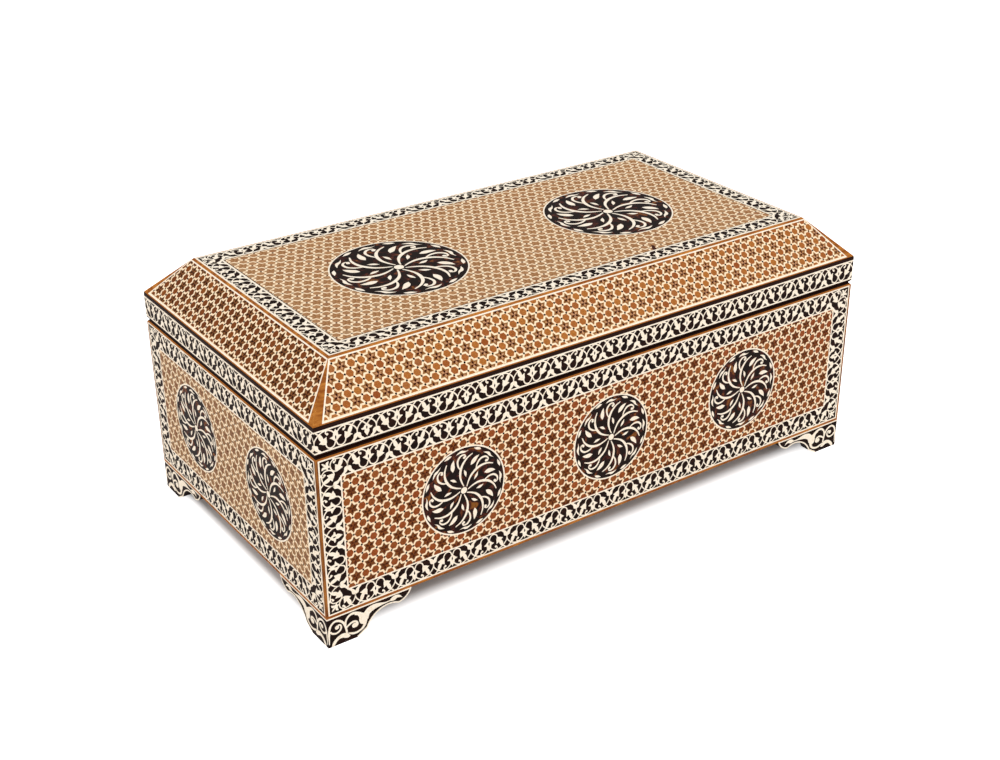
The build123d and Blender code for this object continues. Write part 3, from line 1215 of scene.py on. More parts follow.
def half_foot(axis: float) -> Leaf:
    """Draws half of the flared foot that stands on the inner line.

    Args:
        axis: how far along its axis stands.

    Returns:
        The half on the left of the axis.
    """
    half = (
        (0.0, 5.2), (0.5, 4.8), (1.2, 4.5), (2.1, 4.1), (2.5, 3.3), (2.6, 2.4), (3.1, 1.5), (4.2, 0.6),
        (5.2, -0.4), (2.6, -0.4), (1.9, 0.5), (0.9, 1.2), (0.0, 2.3),
    )
    return Leaf(tuple((axis - d, v) for d, v in half), corners=(0, 8, 9, 12))


@dataclass(frozen=True)
class ScrollDrawing:
    """The border's repeats as drawn: u runs along from an axis of mirror, v from the inner line outward."""

    ground: float = 12.1
    lily_pitch: float = 29.3
    drop_pitch: float = 13.3
    corner_ground: float = 13.5
    corner_reach: float = 19.0
    stem: float = 0.8
    overlap: float = 0.6
    below: float = -0.5
    saw: FretSaw = FretSaw()

    @property
    def lily_half(self) -> float:
        """From the palmette's axis to the foot's."""
        return self.lily_pitch / 2

    def _window(self, half: float) -> tuple[Point, ...]:
        """What a half repeat is trimmed to: from axis to axis, and a little over both lines."""
        deep = self.ground + self.overlap
        return ((0.0, self.below), (half, self.below), (half, deep), (0.0, deep))

    def _even(self, points: tuple[Point, ...]) -> Stem:
        """A stem as wide all along as most stems are."""
        return Stem(points, (self.stem,) * len(points))

    def _trim(self, fret: Piece, half: float) -> None:
        """Cuts a half repeat at both of its axes, then mirrors it at the first.

        Args:
            fret: the half repeat, with its first axis at the middle of the bench.
            half: how far its second axis is from its first.
        """
        clip(fret, self._window(half), fill=True)
        weld = {"use_mirror_merge": True, "merge_threshold": SAME_AXIS}
        apply_modifier(fret, "MIRROR", use_axis=(True, False, False), **weld)

    def lily_repeat(self) -> Piece:
        """Saws a palmette on its axis, with a looped stem and a lily leaf in a round scroll on each side.

        Returns:
            The repeat, about the palmette's axis.
        """
        half = self.lily_half
        palmette = (
            (0.0, 11.5), (0.3, 10.7), (0.95, 10.0), (1.45, 9.3), (1.65, 8.5), (1.75, 7.7), (2.1, 7.05),
            (2.9, 6.95), (4.1, 6.45), (3.2, 5.95), (2.3, 5.35), (1.6, 4.7), (0.9, 4.1), (0.0, 3.6),
        )
        lens = ((0.0, 7.5), (0.55, 6.1), (0.0, 4.7), (-0.55, 6.1))
        shapes = [
            Leaf(mirrored(palmette), corners=(0, 8, 13, 18), hole=lens, hole_corners=(0, 2)),
            self._even(
                (
                    (-0.9, 5.0), (0.15, 3.95), (0.6, 2.7), (1.55, 1.15),
                    (3.55, 0.4), (5.5, 1.1), (6.5, 2.5), (6.75, 4.2),
                )
            ),
            self._even(
                (
                    (1.0, 9.1), (2.2, 10.4), (4.0, 11.5), (6.3, 12.0), (9.0, 11.6), (11.5, 10.3),
                    (13.2, 8.8), (14.2, 7.5), (half, 6.1), (half, 4.2),
                )
            ),
            LILY,
            CURL,
            CURL_BERRY,
            SPRIG,
            half_foot(half),
        ]
        fret = self.saw.cut(shapes, "lily_repeat")
        self._trim(fret, half)
        return fret

    def drop_repeat(self) -> Piece:
        """Saws a hanging flower between two arches, which makes up the length of a run.

        Returns:
            The repeat, about the flower's axis.
        """
        half = self.drop_pitch / 2
        flower = (
            (0.0, 8.7), (0.7, 8.2), (1.5, 7.7), (2.3, 6.6), (4.0, 6.15), (3.1, 5.3), (1.55, 4.9),
            (1.75, 4.0), (1.4, 3.0), (0.8, 2.0), (0.0, 0.9),
        )
        lens = ((0.0, 7.3), (0.55, 6.05), (0.0, 4.8), (-0.55, 6.05))
        shapes = [
            Leaf(mirrored(flower), corners=(0, 4, 10, 16), hole=lens, hole_corners=(0, 2)),
            self._even(
                (
                    (half, 4.2), (half, 6.1), (6.2, 7.5), (5.4, 8.7),
                    (4.2, 9.9), (3.0, 10.7), (1.5, 11.5), (-0.4, 12.2),
                )
            ),
            self._even(((4.9, 12.3), (3.9, 11.4), (2.9, 10.5), (2.0, 9.9), (1.0, 9.0), (0.0, 8.0))),
            half_foot(half),
        ]
        fret = self.saw.cut(shapes, "drop_repeat")
        self._trim(fret, half)
        return fret

    def corner(self) -> Piece:
        """Saws a small spray on the mitre, with a lily leaf in a round scroll on each arm.

        Returns:
            The corner, with its outer corner at the middle of the bench, and its arms along +X and -Y.
        """
        half = self.lily_half
        stretch = self.corner_ground / self.ground
        spiral = (
            (19.0, 9.0), (19.0, 7.4), (18.5, 5.7), (17.4, 3.8), (15.8, 2.3), (13.5, 1.2), (11.0, 0.9),
            (8.9, 1.4), (7.6, 2.7), (7.15, 4.3), (7.3, 5.9), (7.9, 7.4), (9.0, 8.7), (10.9, 9.5),
        )
        arm = self.saw.cut([LILY, CURL, CURL_BERRY, SPRIG, half_foot(half)], "arm")
        clip(arm, self._window(half), fill=True)
        seat = Matrix.Translation((self.corner_reach - half, -self.corner_ground, 0))
        arm.data.transform(seat @ Matrix.Diagonal((1, stretch, 1, 1)))
        side_petal = Leaf(
            (
                (5.4, -5.2), (4.6, -3.9), (4.2, -2.9), (4.4, -1.9), (5.2, -1.3), (6.4, -1.2), (6.0, -2.5),
                (5.8, -3.7), (6.4, -5.0),
            ),
            corners=(5,),
        )
        mid_petal = Leaf(
            ((5.4, -4.8), (4.0, -3.1), (2.9, -2.1), (1.5, -1.3), (2.3, -2.5), (3.4, -3.8), (4.7, -5.2)),
            corners=(3,),
        )
        spray = self.saw.cut(
            [
                self._even(tuple((s, -t) for s, t in spiral)),
                self._even(((5.0, -5.3), (6.2, -5.1), (7.4, -5.2))),
                side_petal,
                mid_petal,
            ],
            "spray",
        )
        one = join([arm, spray], "corner")
        swap = Matrix(((0, -1, 0, 0), (-1, 0, 0, 0), (0, 0, 1, 0), (0, 0, 0, 1)))
        both = join([one, copy_at(one, swap)], "corner")
        self.saw.fuse(both)
        return both


class Repeat(Enum):
    """The repeats of a straight run, each with the letter that stands for it in the run's order."""

    LILY = "L"
    DROP = "D"


@dataclass(frozen=True)
class RepeatSet:
    """The three fretted repeats, ready to be copied."""

    drawing: ScrollDrawing
    lily: Piece
    drop: Piece
    corner: Piece

    @classmethod
    def saw(cls, drawing: ScrollDrawing) -> "RepeatSet":
        """Saws one of each repeat."""
        return cls(drawing, drawing.lily_repeat(), drawing.drop_repeat(), drawing.corner())

    def run(self, order: str, length: float, ground: float) -> list[Piece]:
        """Copies repeats into a straight run.

        Args:
            order: the letter of each repeat in turn.
            length: the run's length, which the lilies are stretched to fill.
            ground: the width of the ground between its two lines.

        Returns:
            The copies, along X about the middle, from the inner line outward along Y.
        """
        row = [Repeat(letter) for letter in order]
        drawn = {Repeat.LILY: self.drawing.lily_pitch, Repeat.DROP: self.drawing.drop_pitch}
        left_over = length - row.count(Repeat.DROP) * self.drawing.drop_pitch
        laid = {**drawn, Repeat.LILY: left_over / row.count(Repeat.LILY)}
        frets = {Repeat.LILY: self.lily, Repeat.DROP: self.drop}
        rise = ground / self.drawing.ground
        here = -length / 2
        copies = []
        for repeat in row:
            stretch = Matrix.Diagonal((laid[repeat] / drawn[repeat], rise, 1, 1))
            place = Matrix.Translation((here + laid[repeat] / 2, 0, 0))
            copies.append(copy_at(frets[repeat], place @ stretch))
            here += laid[repeat]
        return copies

    def clear_away(self) -> None:
        """Throws the pattern pieces away."""
        for piece in (self.lily, self.drop, self.corner):
            discard(piece)


def line_strip(low: Point, high: Point, thickness: float) -> Piece:
    """Makes a straight strip of stringing.

    Args:
        low: its lower left corner.
        high: its upper right corner.
        thickness: its thickness.

    Returns:
        The strip, with its middle at zero height.
    """
    centre = ((low[0] + high[0]) / 2, (low[1] + high[1]) / 2, 0)
    bpy.ops.mesh.primitive_cube_add(size=1, location=centre)
    strip = bpy.context.view_layer.objects.active
    strip.scale = (high[0] - low[0], high[1] - low[1], thickness)
    bpy.ops.object.transform_apply()
    return strip


def line_frame(width: float, height: float, line: float, thickness: float) -> Piece:
    """Makes a flat rectangular frame of stringing about the middle of the bench.

    Args:
        width: its outer width.
        height: its outer height.
        line: the width of the stringing.
        thickness: its thickness.

    Returns:
        The frame, with its middle at zero height.
    """
    bpy.ops.mesh.primitive_plane_add(size=1, location=(0, 0, -thickness / 2))
    ring = bpy.context.view_layer.objects.active
    ring.scale = (width, height, 1)
    bpy.ops.object.transform_apply()
    raise_frame(ring, line, thickness)
    return ring


@dataclass(frozen=True)
class ScrollWork:
    """Bone scrolls and lines let into the black ground of one node."""

    node: str
    facing: Facing
    body: Body
    line: float = field(default=1.0, kw_only=True)
    line_proud: float = field(default=0.02, kw_only=True)
    lift: float = field(default=0.03, kw_only=True)

    def _lay(self, parts: Sequence[Piece], face: Face, thickness: float, bone: Material) -> Piece:
        """Joins the scrolls and lines and lays them on the node.

        Args:
            parts: the scrolls and lines, flat on the bench.
            face: the node's face.
            thickness: how thick the scrolls are.
            bone: what they are made of.

        Returns:
            The scrolls, as one piece.
        """
        scrolls = join(parts, self.node + "_scrolls")
        clad(scrolls, bone)
        face.lay(scrolls, self.lift - thickness / 2)
        return fit_piece(scrolls, self.body)


@dataclass(frozen=True)
class ScrollBorder(ScrollWork):
    """The scrolls and lines of a border round a panel."""

    level_order: str
    upright_order: str
    width: float = 15.4

    def build(self, repeats: RepeatSet, bone: Material) -> Piece:
        """Copies the repeats round the border and lays them on it.

        Args:
            repeats: the sawn repeats.
            bone: what they are made of.

        Returns:
            The scrolls, as one piece.
        """
        face = Face.of(self.node, self.facing)
        thick = repeats.drawing.saw.thickness
        ground = self.width - 2 * self.line
        scale = ground / repeats.drawing.corner_ground
        shrink = Matrix.Diagonal((scale, scale, 1, 1))
        reach = repeats.drawing.corner_reach * scale + self.line
        parts = []
        for quarter in range(4):
            upright = quarter % 2
            long_side, short_side = (face.height, face.width) if upright else (face.width, face.height)
            turn = Matrix.Rotation(-math.pi / 2 * quarter, 4, "Z")
            inner = turn @ Matrix.Translation((0, short_side / 2 - self.width + self.line, 0))
            order = self.upright_order if upright else self.level_order
            for fret in repeats.run(order, long_side - 2 * reach, ground):
                fret.data.transform(inner)
                parts.append(fret)
            outer = Matrix.Translation((self.line - long_side / 2, short_side / 2 - self.line, 0))
            parts.append(copy_at(repeats.corner, turn @ outer @ shrink))
        for inset in (0.0, 2 * (self.width - self.line)):
            frame_size = (face.width - inset, face.height - inset)
            parts.append(line_frame(*frame_size, self.line, thick + self.line_proud))
        return self._lay(parts, face, thick, bone)


@dataclass(frozen=True)
class ScrollBand(ScrollWork):
    """The scrolls and lines of a straight band that runs from corner to corner."""

    order: str

    def build(self, repeats: RepeatSet, bone: Material) -> Piece:
        """Copies the repeats along the band and lays them on it.

        Args:
            repeats: the sawn repeats.
            bone: what they are made of.

        Returns:
            The scrolls, as one piece.
        """
        face = Face.of(self.node, self.facing)
        thick = repeats.drawing.saw.thickness
        ground = face.height - 2 * self.line
        parts = repeats.run(self.order, face.width, ground)
        for fret in parts:
            fret.data.transform(Matrix.Translation((0, -ground / 2, 0)))
        half = face.width / 2
        for low in (-face.height / 2, face.height / 2 - self.line):
            parts.append(line_strip((-half, low), (half, low + self.line), thick + self.line_proud))
        return self._lay(parts, face, thick, bone)


# ---------------------------------------------------------------- roundels


@dataclass(frozen=True)
class RoundelOrnament:
    """A whirling arabesque in bone inside a bone ring, on each roundel of a row."""

    node: str
    facing: Facing
    body: Body
    count: int
    arms: int = 8
    ring: float = 1.0
    ring_edges: int = 96
    rosette: float = 2.3
    drawn_radius: float = 31.35
    lift: float = 0.05
    saw: FretSaw = FretSaw()

    def _arm(self) -> list[Leaf | Stem | Berry]:
        """Draws one arm of the whirl, as it is on the smaller roundel.

        Returns:
            Its two stems, the berry and the four leaves.
        """
        return [
            Stem(
                ((3.0, 0.0), (6.5, 1.6), (10.5, 2.6), (15.0, 2.2), (19.2, 0.4), (22.6, -2.9), (24.6, -7.0)),
                (0.6, 1.0, 1.4, 1.7, 1.5, 1.1, 0.6),
            ),
            Stem(
                ((15.2, 2.2), (18.6, 4.0), (22.4, 4.2), (25.2, 2.0), (25.4, -0.9), (23.4, -1.9)),
                (0.6, 1.1, 1.3, 1.2, 0.9, 0.7),
            ),
            Berry((23.5, -0.7), 0.95),
            Leaf(
                (
                    (27.9, -4.2), (27.9, -1.6), (28.9, 1.0), (28.2, 3.4),
                    (26.8, 5.4), (27.3, 2.2), (27.0, -0.6),
                ),
                corners=(0, 4),
            ),
            Leaf(((9.2, -1.7), (11.6, -0.5), (14.8, -0.3), (12.4, -2.1)), corners=(0, 2)),
            Leaf(
                ((16.6, -5.4), (19.3, -6.0), (21.6, -9.0), (22.0, -12.0), (19.4, -9.9), (17.4, -8.0)),
                corners=(0, 3),
            ),
            Leaf(((28.1, -8.0), (26.2, -10.2), (25.4, -13.4), (27.2, -12.2)), corners=(0, 2)),
        ]

    def build(self, bone: Material) -> Piece:
        """Makes the ornament of every roundel in the row.

        Args:
            bone: what it is made of.

        Returns:
            The ornaments, as one piece.
        """
        face = Face.of(self.node, self.facing)
        row = SeatRow.of(self.node, self.facing, self.count, face)
        scale = row.radius / self.drawn_radius
        arm = self.saw.cut(self._arm(), "arm")
        turns = [Matrix.Rotation(math.tau * index / self.arms, 4, "Z") for index in range(self.arms)]
        whirl = join([*(copy_at(arm, turn) for turn in turns[1:]), arm], "whirl")
        self.saw.fuse(whirl)
        rosette = self.saw.cut([Berry((0.0, 0.0), self.rosette)], "rosette")
        whirl = join([whirl, rosette], "whirl")
        self.saw.fuse(whirl)
        whirl.data.transform(Matrix.Diagonal((scale, scale, 1, 1)))
        bpy.ops.mesh.primitive_cylinder_add(
            vertices=self.ring_edges, radius=row.radius, depth=self.saw.thickness, end_fill_type="NGON"
        )
        ring = bpy.context.view_layer.objects.active
        self._hollow(ring)
        ornament = join([whirl, ring], "ornament")
        copies = [copy_at(ornament, Matrix.Translation((*centre, 0))) for centre in row.centres()]
        discard(ornament)
        piece = join(copies, self.node + "_ornament")
        clad(piece, bone)
        face.lay(piece, self.lift - self.saw.thickness / 2)
        return fit_piece(piece, self.body)

    def _hollow(self, disc: Piece) -> None:
        """Turns a disc into a ring by insetting its two faces and bridging the hole.

        Args:
            disc: a closed disc, of one face above and one below.
        """
        take(disc)
        bpy.ops.object.mode_set(mode="EDIT")
        bpy.ops.mesh.select_mode(type="FACE")
        bpy.ops.mesh.select_all(action="DESELECT")
        bpy.ops.object.mode_set(mode="OBJECT")
        for polygon in disc.data.polygons:
            polygon.select = abs(polygon.normal.z) > FLAT
        bpy.ops.object.mode_set(mode="EDIT")
        bpy.ops.mesh.inset(thickness=self.ring)
        bpy.ops.mesh.bridge_edge_loops()
        bpy.ops.object.mode_set(mode="OBJECT")


# ---------------------------------------------------------------- feet


@dataclass(frozen=True)
class FootWing:
    """The bone scrolls on one wing of a bracket foot: s runs along from the corner, h down from the box."""

    base: float = 21.4
    height: float = 22.0
    ankle: Point = (28.8, 17.6)
    cove_middle: Point = (33.8, 10.7)
    cove_top: Point = (45.0, 6.4)
    cusp_middle: Point = (49.2, 7.0)
    cusp: Point = (52.2, 8.2)
    lobe_middle: Point = (58.6, 5.6)
    arc_steps: tuple[int, int, int] = (12, 6, 8)
    length: float = 62.4
    line: float = 1.0
    saw: FretSaw = FretSaw()

    def _edge_line(self) -> list[Stem]:
        """Draws the bone line inside the curved lower edge, stretch by stretch, and the one along the top.

        Returns:
            The stretches, and the line along the top.
        """
        rake = [(self.base, self.height), self.ankle]
        cove_steps, bend_steps, lobe_steps = self.arc_steps
        cove = arc_through(self.ankle, self.cove_middle, self.cove_top, cove_steps)
        bend = arc_through(self.cove_top, self.cusp_middle, self.cusp, bend_steps)
        lobe = arc_through(self.cusp, self.lobe_middle, (self.length, 0.0), lobe_steps)
        stretches = []
        for line in (rake, [*cove, *bend[1:]], lobe):
            moved = []
            last = len(line) - 1
            for index, here in enumerate(line):
                way = Vector(line[min(index + 1, last)]) - Vector(line[max(index - 1, 0)])
                side = Vector((way.y, -way.x)).normalized()
                moved.append(tuple(Vector(here) + side * self.line / 2))
            stretches.append(Stem(tuple(moved), (self.line, self.line), straight=True))
        top = ((0.0, self.line / 2), (self.length - self.line, self.line / 2))
        return [*stretches, Stem(top, (self.line, self.line), straight=True)]

    def _scrolls(self) -> list[Leaf | Stem | Berry]:
        """Draws the two spirals by the corner, the thick leaf, the long leaf and the curled tip.

        Returns:
            The stems, the leaves and the berries that end the spirals.
        """
        return [
            Stem(
                (
                    (0.8, 19.57), (0.95, 12.02), (1.9, 6.92), (3.9, 4.37), (6.4, 3.56),
                    (9.6, 4.78), (11.9, 7.54), (13.1, 11.41), (13.8, 15.49),
                ),
                (0.5, 1.5, 1.5, 1.4, 1.5, 1.6, 1.5, 1.4, 1.3),
            ),
            Stem(
                (
                    (2.0, 10.19), (3.3, 11.82), (6.0, 12.74), (8.6, 11.82),
                    (9.9, 9.68), (9.3, 7.64), (7.6, 7.03),
                ),
                (1.2, 1.3, 1.3, 1.3, 1.2, 1.1, 0.9),
            ),
            Berry((6.9, 8.56), 1.5),
            Stem(
                ((12.9, 10.19), (13.4, 6.31), (15.5, 3.56), (18.3, 2.64), (21.1, 3.35), (24.2, 5.29)),
                (1.3, 1.4, 1.5, 1.7, 2.0, 2.6),
            ),
            Leaf(
                (
                    (21.1, 3.05), (24.2, 4.27), (27.4, 6.01), (28.75, 9.02), (28.3, 13.15), (26.4, 16.41),
                    (23.0, 18.35), (19.25, 18.76), (16.1, 17.63), (14.3, 15.70), (16.75, 16.41),
                    (19.6, 17.23), (22.7, 16.82), (24.9, 15.49), (25.8, 13.76), (23.9, 12.53),
                    (23.0, 10.19), (23.0, 7.84), (22.1, 5.50), (19.9, 3.97),
                ),
                corners=(9, 14),
            ),
            Stem(
                ((13.6, 11.41), (16.1, 9.78), (18.6, 8.96), (21.0, 9.88), (21.7, 12.02), (20.4, 13.66)),
                (1.2, 1.4, 1.5, 1.4, 1.3, 0.9),
            ),
            Berry((19.4, 12.02), 1.8),
            Leaf(
                (
                    (26.4, 6.92), (28.0, 3.97), (31.1, 2.39), (34.9, 1.93), (38.6, 2.64), (42.4, 3.66),
                    (47.1, 3.56), (47.1, 4.37), (42.7, 4.63), (38.6, 5.04), (34.25, 5.90), (30.8, 7.74),
                    (28.6, 11.41),
                ),
                corners=(6, 7),
            ),
            Leaf(
                (
                    (46.2, 3.97), (48.0, 2.03), (50.5, 1.52), (53.3, 2.54), (55.4, 5.09), (53.6, 4.37),
                    (51.4, 3.97), (49.6, 4.88), (48.0, 4.88),
                ),
                corners=(4,),
            ),
            Leaf(
                (
                    (2.5, 21.80), (3.0, 19.67), (5.2, 17.02), (8.3, 15.29), (11.75, 14.88), (14.4, 16.10),
                    (16.1, 18.65), (14.4, 19.37), (12.4, 18.81), (10.5, 17.94), (8.0, 18.04), (5.8, 19.67),
                    (4.25, 21.80),
                ),
                corners=(0, 6, 12),
            ),
        ]

    def cut(self) -> Piece:
        """Saws the wing's scrolls.

        Returns:
            The scrolls, with the corner at the middle of the bench and the wing along +X.
        """
        wing = self.saw.cut([*self._scrolls(), *self._edge_line()], "wing")
        wing.data.transform(Matrix.Diagonal((1, -1, 1, 1)))
        wing.data.flip_normals()
        return wing


@dataclass(frozen=True)
class FootScrolls:
    """The bone scrolls on the two wings of one foot."""

    node: str
    level: Facing
    endways: Facing
    lift: float = 0.03

    def build(self, wing: Piece, thickness: float, bone: Material) -> Piece:
        """Copies the wing to both faces of the foot.

        Args:
            wing: the sawn wing.
            thickness: its thickness.
            bone: what it is made of.

        Returns:
            The scrolls, as one piece.
        """
        low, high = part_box(self.node)
        parts = []
        for facing in (self.level, self.endways):
            along, up = (Vector(way) for way in facing.value)
            out = along.cross(up)
            corner_side = 1.0 if (low + high).dot(along) > 0 else -1.0
            reach = max(abs(low.dot(along)), abs(high.dot(along)))
            depth = max(low.dot(out), high.dot(out))
            turn = Matrix((along, up, out)).transposed().to_4x4()
            corner = along * corner_side * reach + up * high.z + out * depth
            mirror = Matrix.Diagonal((-corner_side, 1, 1, 1))
            place = Matrix.Translation(corner) @ turn @ Matrix.Scale(MM, 4)
            lift = Matrix.Translation((0, 0, self.lift - thickness / 2))
            parts.append(copy_at(wing, place @ lift @ mirror))
        scrolls = join(parts, self.node + "_scrolls")
        clad(scrolls, bone)
        return fit_piece(scrolls, Body.BOX)


# ---------------------------------------------------------------- stringing and marks


@dataclass(frozen=True)
class SlopeLines:
    """Bone stringing inside the edge of a sloping star panel."""

    node: str
    facing: Facing
    line: float = 0.95
    overhang: float = 0.6
    thickness: float = 0.4
    lift: float = 0.04

    def build(self, bone: Material) -> Piece:
        """Makes the four lines and lays them on the slope, the lowest one partly on the moulding.

        Args:
            bone: what they are made of.

        Returns:
            The lines, as one piece.
        """
        face = Face.of(self.node, self.facing)
        share = self.overhang / face.height
        corners = {
            (True, True): Vector(face.low_left).lerp(face.high_left, -share),
            (False, True): Vector(face.low_right).lerp(face.high_right, -share),
            (False, False): face.high_right,
            (True, False): face.high_left,
        }
        bpy.ops.mesh.primitive_plane_add(size=2, location=(0, 0, -self.thickness))
        ring = bpy.context.view_layer.objects.active
        bpy.ops.object.transform_apply()
        for vertex in ring.data.vertices:
            left, low = vertex.co.x < 0, vertex.co.y < 0
            vertex.co.x, vertex.co.y = corners[(left, low)]
        raise_frame(ring, self.line, self.thickness)
        ring.name = self.node + "_lines"
        ring.data.name = ring.name
        clad(ring, bone)
        face.lay(ring, self.lift)
        return fit_piece(ring, Body.LID)


@dataclass(frozen=True)
class Loss:
    """A small gap in the star marquetry where tiles are lost, filled with dark red mastic."""

    node: str
    facing: Facing
    place: Point
    turn: float = 62.7
    thickness: float = 0.3
    lift: float = 0.045
    mastic: TileWood = TileWood("dark_red_mastic", ("#4A1E0E", "#6A3014"))

    def build(self) -> Piece:
        """Makes the filled gap and lays it on the panel.

        Returns:
            The patch of mastic.
        """
        edge = ((-4.4, 0.4), (-2.4, 1.5), (0.9, 0.9), (4.3, 1.0), (4.0, -0.9), (0.6, -1.3), (-3.4, -1.1))
        patch = FretSaw(self.thickness).cut([Leaf(edge, corners=(0, 3))], self.node + "_loss")
        turn = Matrix.Rotation(math.radians(self.turn), 4, "Z")
        patch.data.transform(Matrix.Translation((*self.place, 0)) @ turn)
        patch.data.attributes.new("tint", "FLOAT", "FACE")
        clad(patch, self.mastic.material())
        Face.of(self.node, self.facing).lay(patch, self.lift - self.thickness / 2)
        return fit_piece(patch, Body.LID)


# ---------------------------------------------------------------- dressing the CAD nodes


def dress(nodes: Sequence[str], material: Material) -> None:
    """Gives some CAD nodes a material.

    Args:
        nodes: the nodes' names.
        material: what they are made of.
    """
    for name in nodes:
        clad(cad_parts[name], material)


@dataclass(frozen=True)
class Carcass:
    """The plain woods and metal: boards, rims, strips, mouldings and hinges."""

    def dress(self) -> None:
        """Gives each plain node its finish."""
        walnut, crosswise = WALNUT.material(), WALNUT_CROSS.material()
        dress(["bottom_board", "front_board", "back_board", "lid_top_board"], walnut)
        dress(["lid_rail_front", "lid_rail_back", "lid_slope_front", "lid_slope_back"], walnut)
        dress(["left_end_board", "right_end_board", "foot_glue_blocks"], crosswise)
        dress(["lid_rail_left", "lid_rail_right", "lid_slope_left", "lid_slope_right"], crosswise)
        dress(["base_strips", "lid_hip_strips", "lid_ridge_strips"], PLUM.material())
        dress(["body_rim"], PLUM_RIM_PAINTED_GROOVE_SHADE.material())
        dress(["corner_posts"], PLUM_UPRIGHT.material())
        dress([f"lid_eave_{side}" for side in SIDES], CROWNED_MOULDING.material())
        dress(["hinge_body_leaves", "hinge_lid_leaves", "hinge_pins"], Brass().material())
        dress(["hinge_body_screws", "hinge_lid_screws"], Brass("brass_screws", roughness=0.3).material())

    def dress_grounds(self, ebony: Material, bone: Material, shell: Material) -> None:
        """Gives the grounds of the inlay their finish.

        Args:
            ebony: the ground of the scrolls.
            bone: the ground of the star tiles.
            shell: the roundels.
        """
        dress([f"{side}_border" for side in SIDES], ebony)
        dress([f"lid_skirt_border_{side}" for side in SIDES], ebony)
        dress(["lid_top_border", "lid_rim"], ebony)
        dress([f"foot_{wall}_{end}" for wall, end in FEET], ebony)
        dress([f"{side}_star_panel" for side in SIDES], bone)
        dress([f"lid_slope_panel_{side}" for side in SIDES], bone)
        dress(["lid_top_star_panel"], bone)
        dress([f"{side}_roundels" for side in SIDES], shell)
        dress(["lid_top_roundels"], shell)


LONG_SIDE_WOODS = Palette(
    TileWood("tile_dark_rosewood", ("#401C07", "#51220A", "#60280E", "#45240A")),
    TileWood("tile_mottled_walnut", ("#87461F", "#9E5A2B", "#7B421F", "#A86937")),
    TileWood("tile_brown_walnut", ("#7B441F", "#885025", "#6F3E1D")),
    TileWood("tile_red_jujube", ("#9A4E23", "#AA582B", "#9E5629", "#B56D37")),
    TileWood("tile_ebony_spot", ("#120B0A", "#1E1310")),
)
# The long walls' woods with a painted reflection: the glare that washes out the end walls is painted into
# these paler, greyer tones.
GLARE_PAINTED_END_TILES = Palette(
    TileWood("end_rosewood_painted_glare", ("#7C5136", "#8C6142", "#82593E")),
    TileWood("end_walnut_painted_glare", ("#A97855", "#B58461", "#AD7C59")),
    TileWood("end_brown_painted_glare", ("#AD8059", "#B78C62", "#A2764F")),
    TileWood("end_jujube_painted_glare", ("#A77C55", "#B1845B", "#BD9066")),
    TileWood("end_spot_painted_glare", ("#5A4434", "#6A503C")),
)
# The same woods as the walls, made lighter and paler: the sheen on the long slopes is painted into these
# tones as a painted highlight.
SHEEN_PAINTED_LONG_SLOPE_TILES = Palette(
    TileWood("slope_dark_betel_painted_sheen", ("#3E1309", "#51200E", "#481A0C")),
    TileWood("slope_pear_painted_sheen", ("#DFA679", "#E7AE81", "#D0955E")),
    TileWood("slope_tan_wood_painted_sheen", ("#9F6A39", "#AE7742", "#936233")),
    TileWood("slope_orange_wood_painted_sheen", ("#AA5B2B", "#BD7139", "#CC823E", "#B47044")),
    TileWood("slope_ebony_spot_painted_sheen", ("#1A0E0C", "#241512")),
)
# The same woods as the other slopes, made darker: the end slopes' lack of sheen is painted into these tones
# as painted shade.
SHADE_PAINTED_END_SLOPE_TILES = Palette(
    TileWood("end_slope_betel_painted_shade", ("#2B0B04", "#381205", "#431707")),
    TileWood("end_slope_pear_painted_shade", ("#935D38", "#A0663A", "#854F2A")),
    TileWood("end_slope_umber_wood_painted_shade", ("#764923", "#81532A", "#6A401D")),
    TileWood("end_slope_rust_wood_painted_shade", ("#763C1B", "#85471F", "#975323", "#A25F29")),
    TileWood("tile_ebony_spot_end", ("#120B0A", "#1E1310")),
)
# The same woods made lighter, with the dark spots much paler: the sheen and light on the top are painted
# into these tones as a painted highlight.
SHEEN_PAINTED_TOP_TILES = Palette(
    TileWood("top_betel_painted_sheen", ("#A77244", "#B37D4E", "#BA8757")),
    TileWood("top_pear_painted_sheen", ("#C38F5F", "#CD9868", "#D2A070")),
    TileWood("top_tan_wood_painted_sheen", ("#B78559", "#C18F62", "#C79768")),
    TileWood("top_orange_wood_painted_sheen", ("#B57F55", "#C18D60", "#CB9768", "#C79E74")),
    TileWood("top_ebony_spot_painted_sheen", ("#604634", "#70523E")),
)
LONG_SIDE_DRIFT = Drift(
    (-0.29, 4.23, -0.19, -6.22, -0.72, -0.91, -0.19), (-0.29, -0.56, 0.05, 1.18, -0.48, 0.14, -0.07)
)
END_DRIFT = Drift(
    (0.28, 1.40, -1.26, -2.20, 0.24, -0.39, 0.03), (0.24, 2.03, -0.89, -2.40, -0.19, -0.49, 0.26)
)
LONG_SLOPE_DRIFT = Drift(
    (-0.13, 1.04, 0.59, -2.16, 0.21, 0.05, -0.40), (0.00, -0.42, 0.18, 0.20, 0.03, -0.13, 0.23)
)
END_SLOPE_DRIFT = Drift(
    (-0.31, 0.03, 1.48, -0.45, 0.12, -0.04, 0.92), (0.04, -0.50, 0.02, 0.16, 0.31, -0.21, -0.43)
)
TOP_DRIFT = Drift(
    (0.08, 0.02, 0.53, 0.61, 1.26, 1.49, -0.37), (-0.60, -0.13, 1.83, 0.83, 0.90, -0.75, -0.39)
)
WALL_SEED, SLOPE_SEED, TOP_SEED = 10, 20, 30


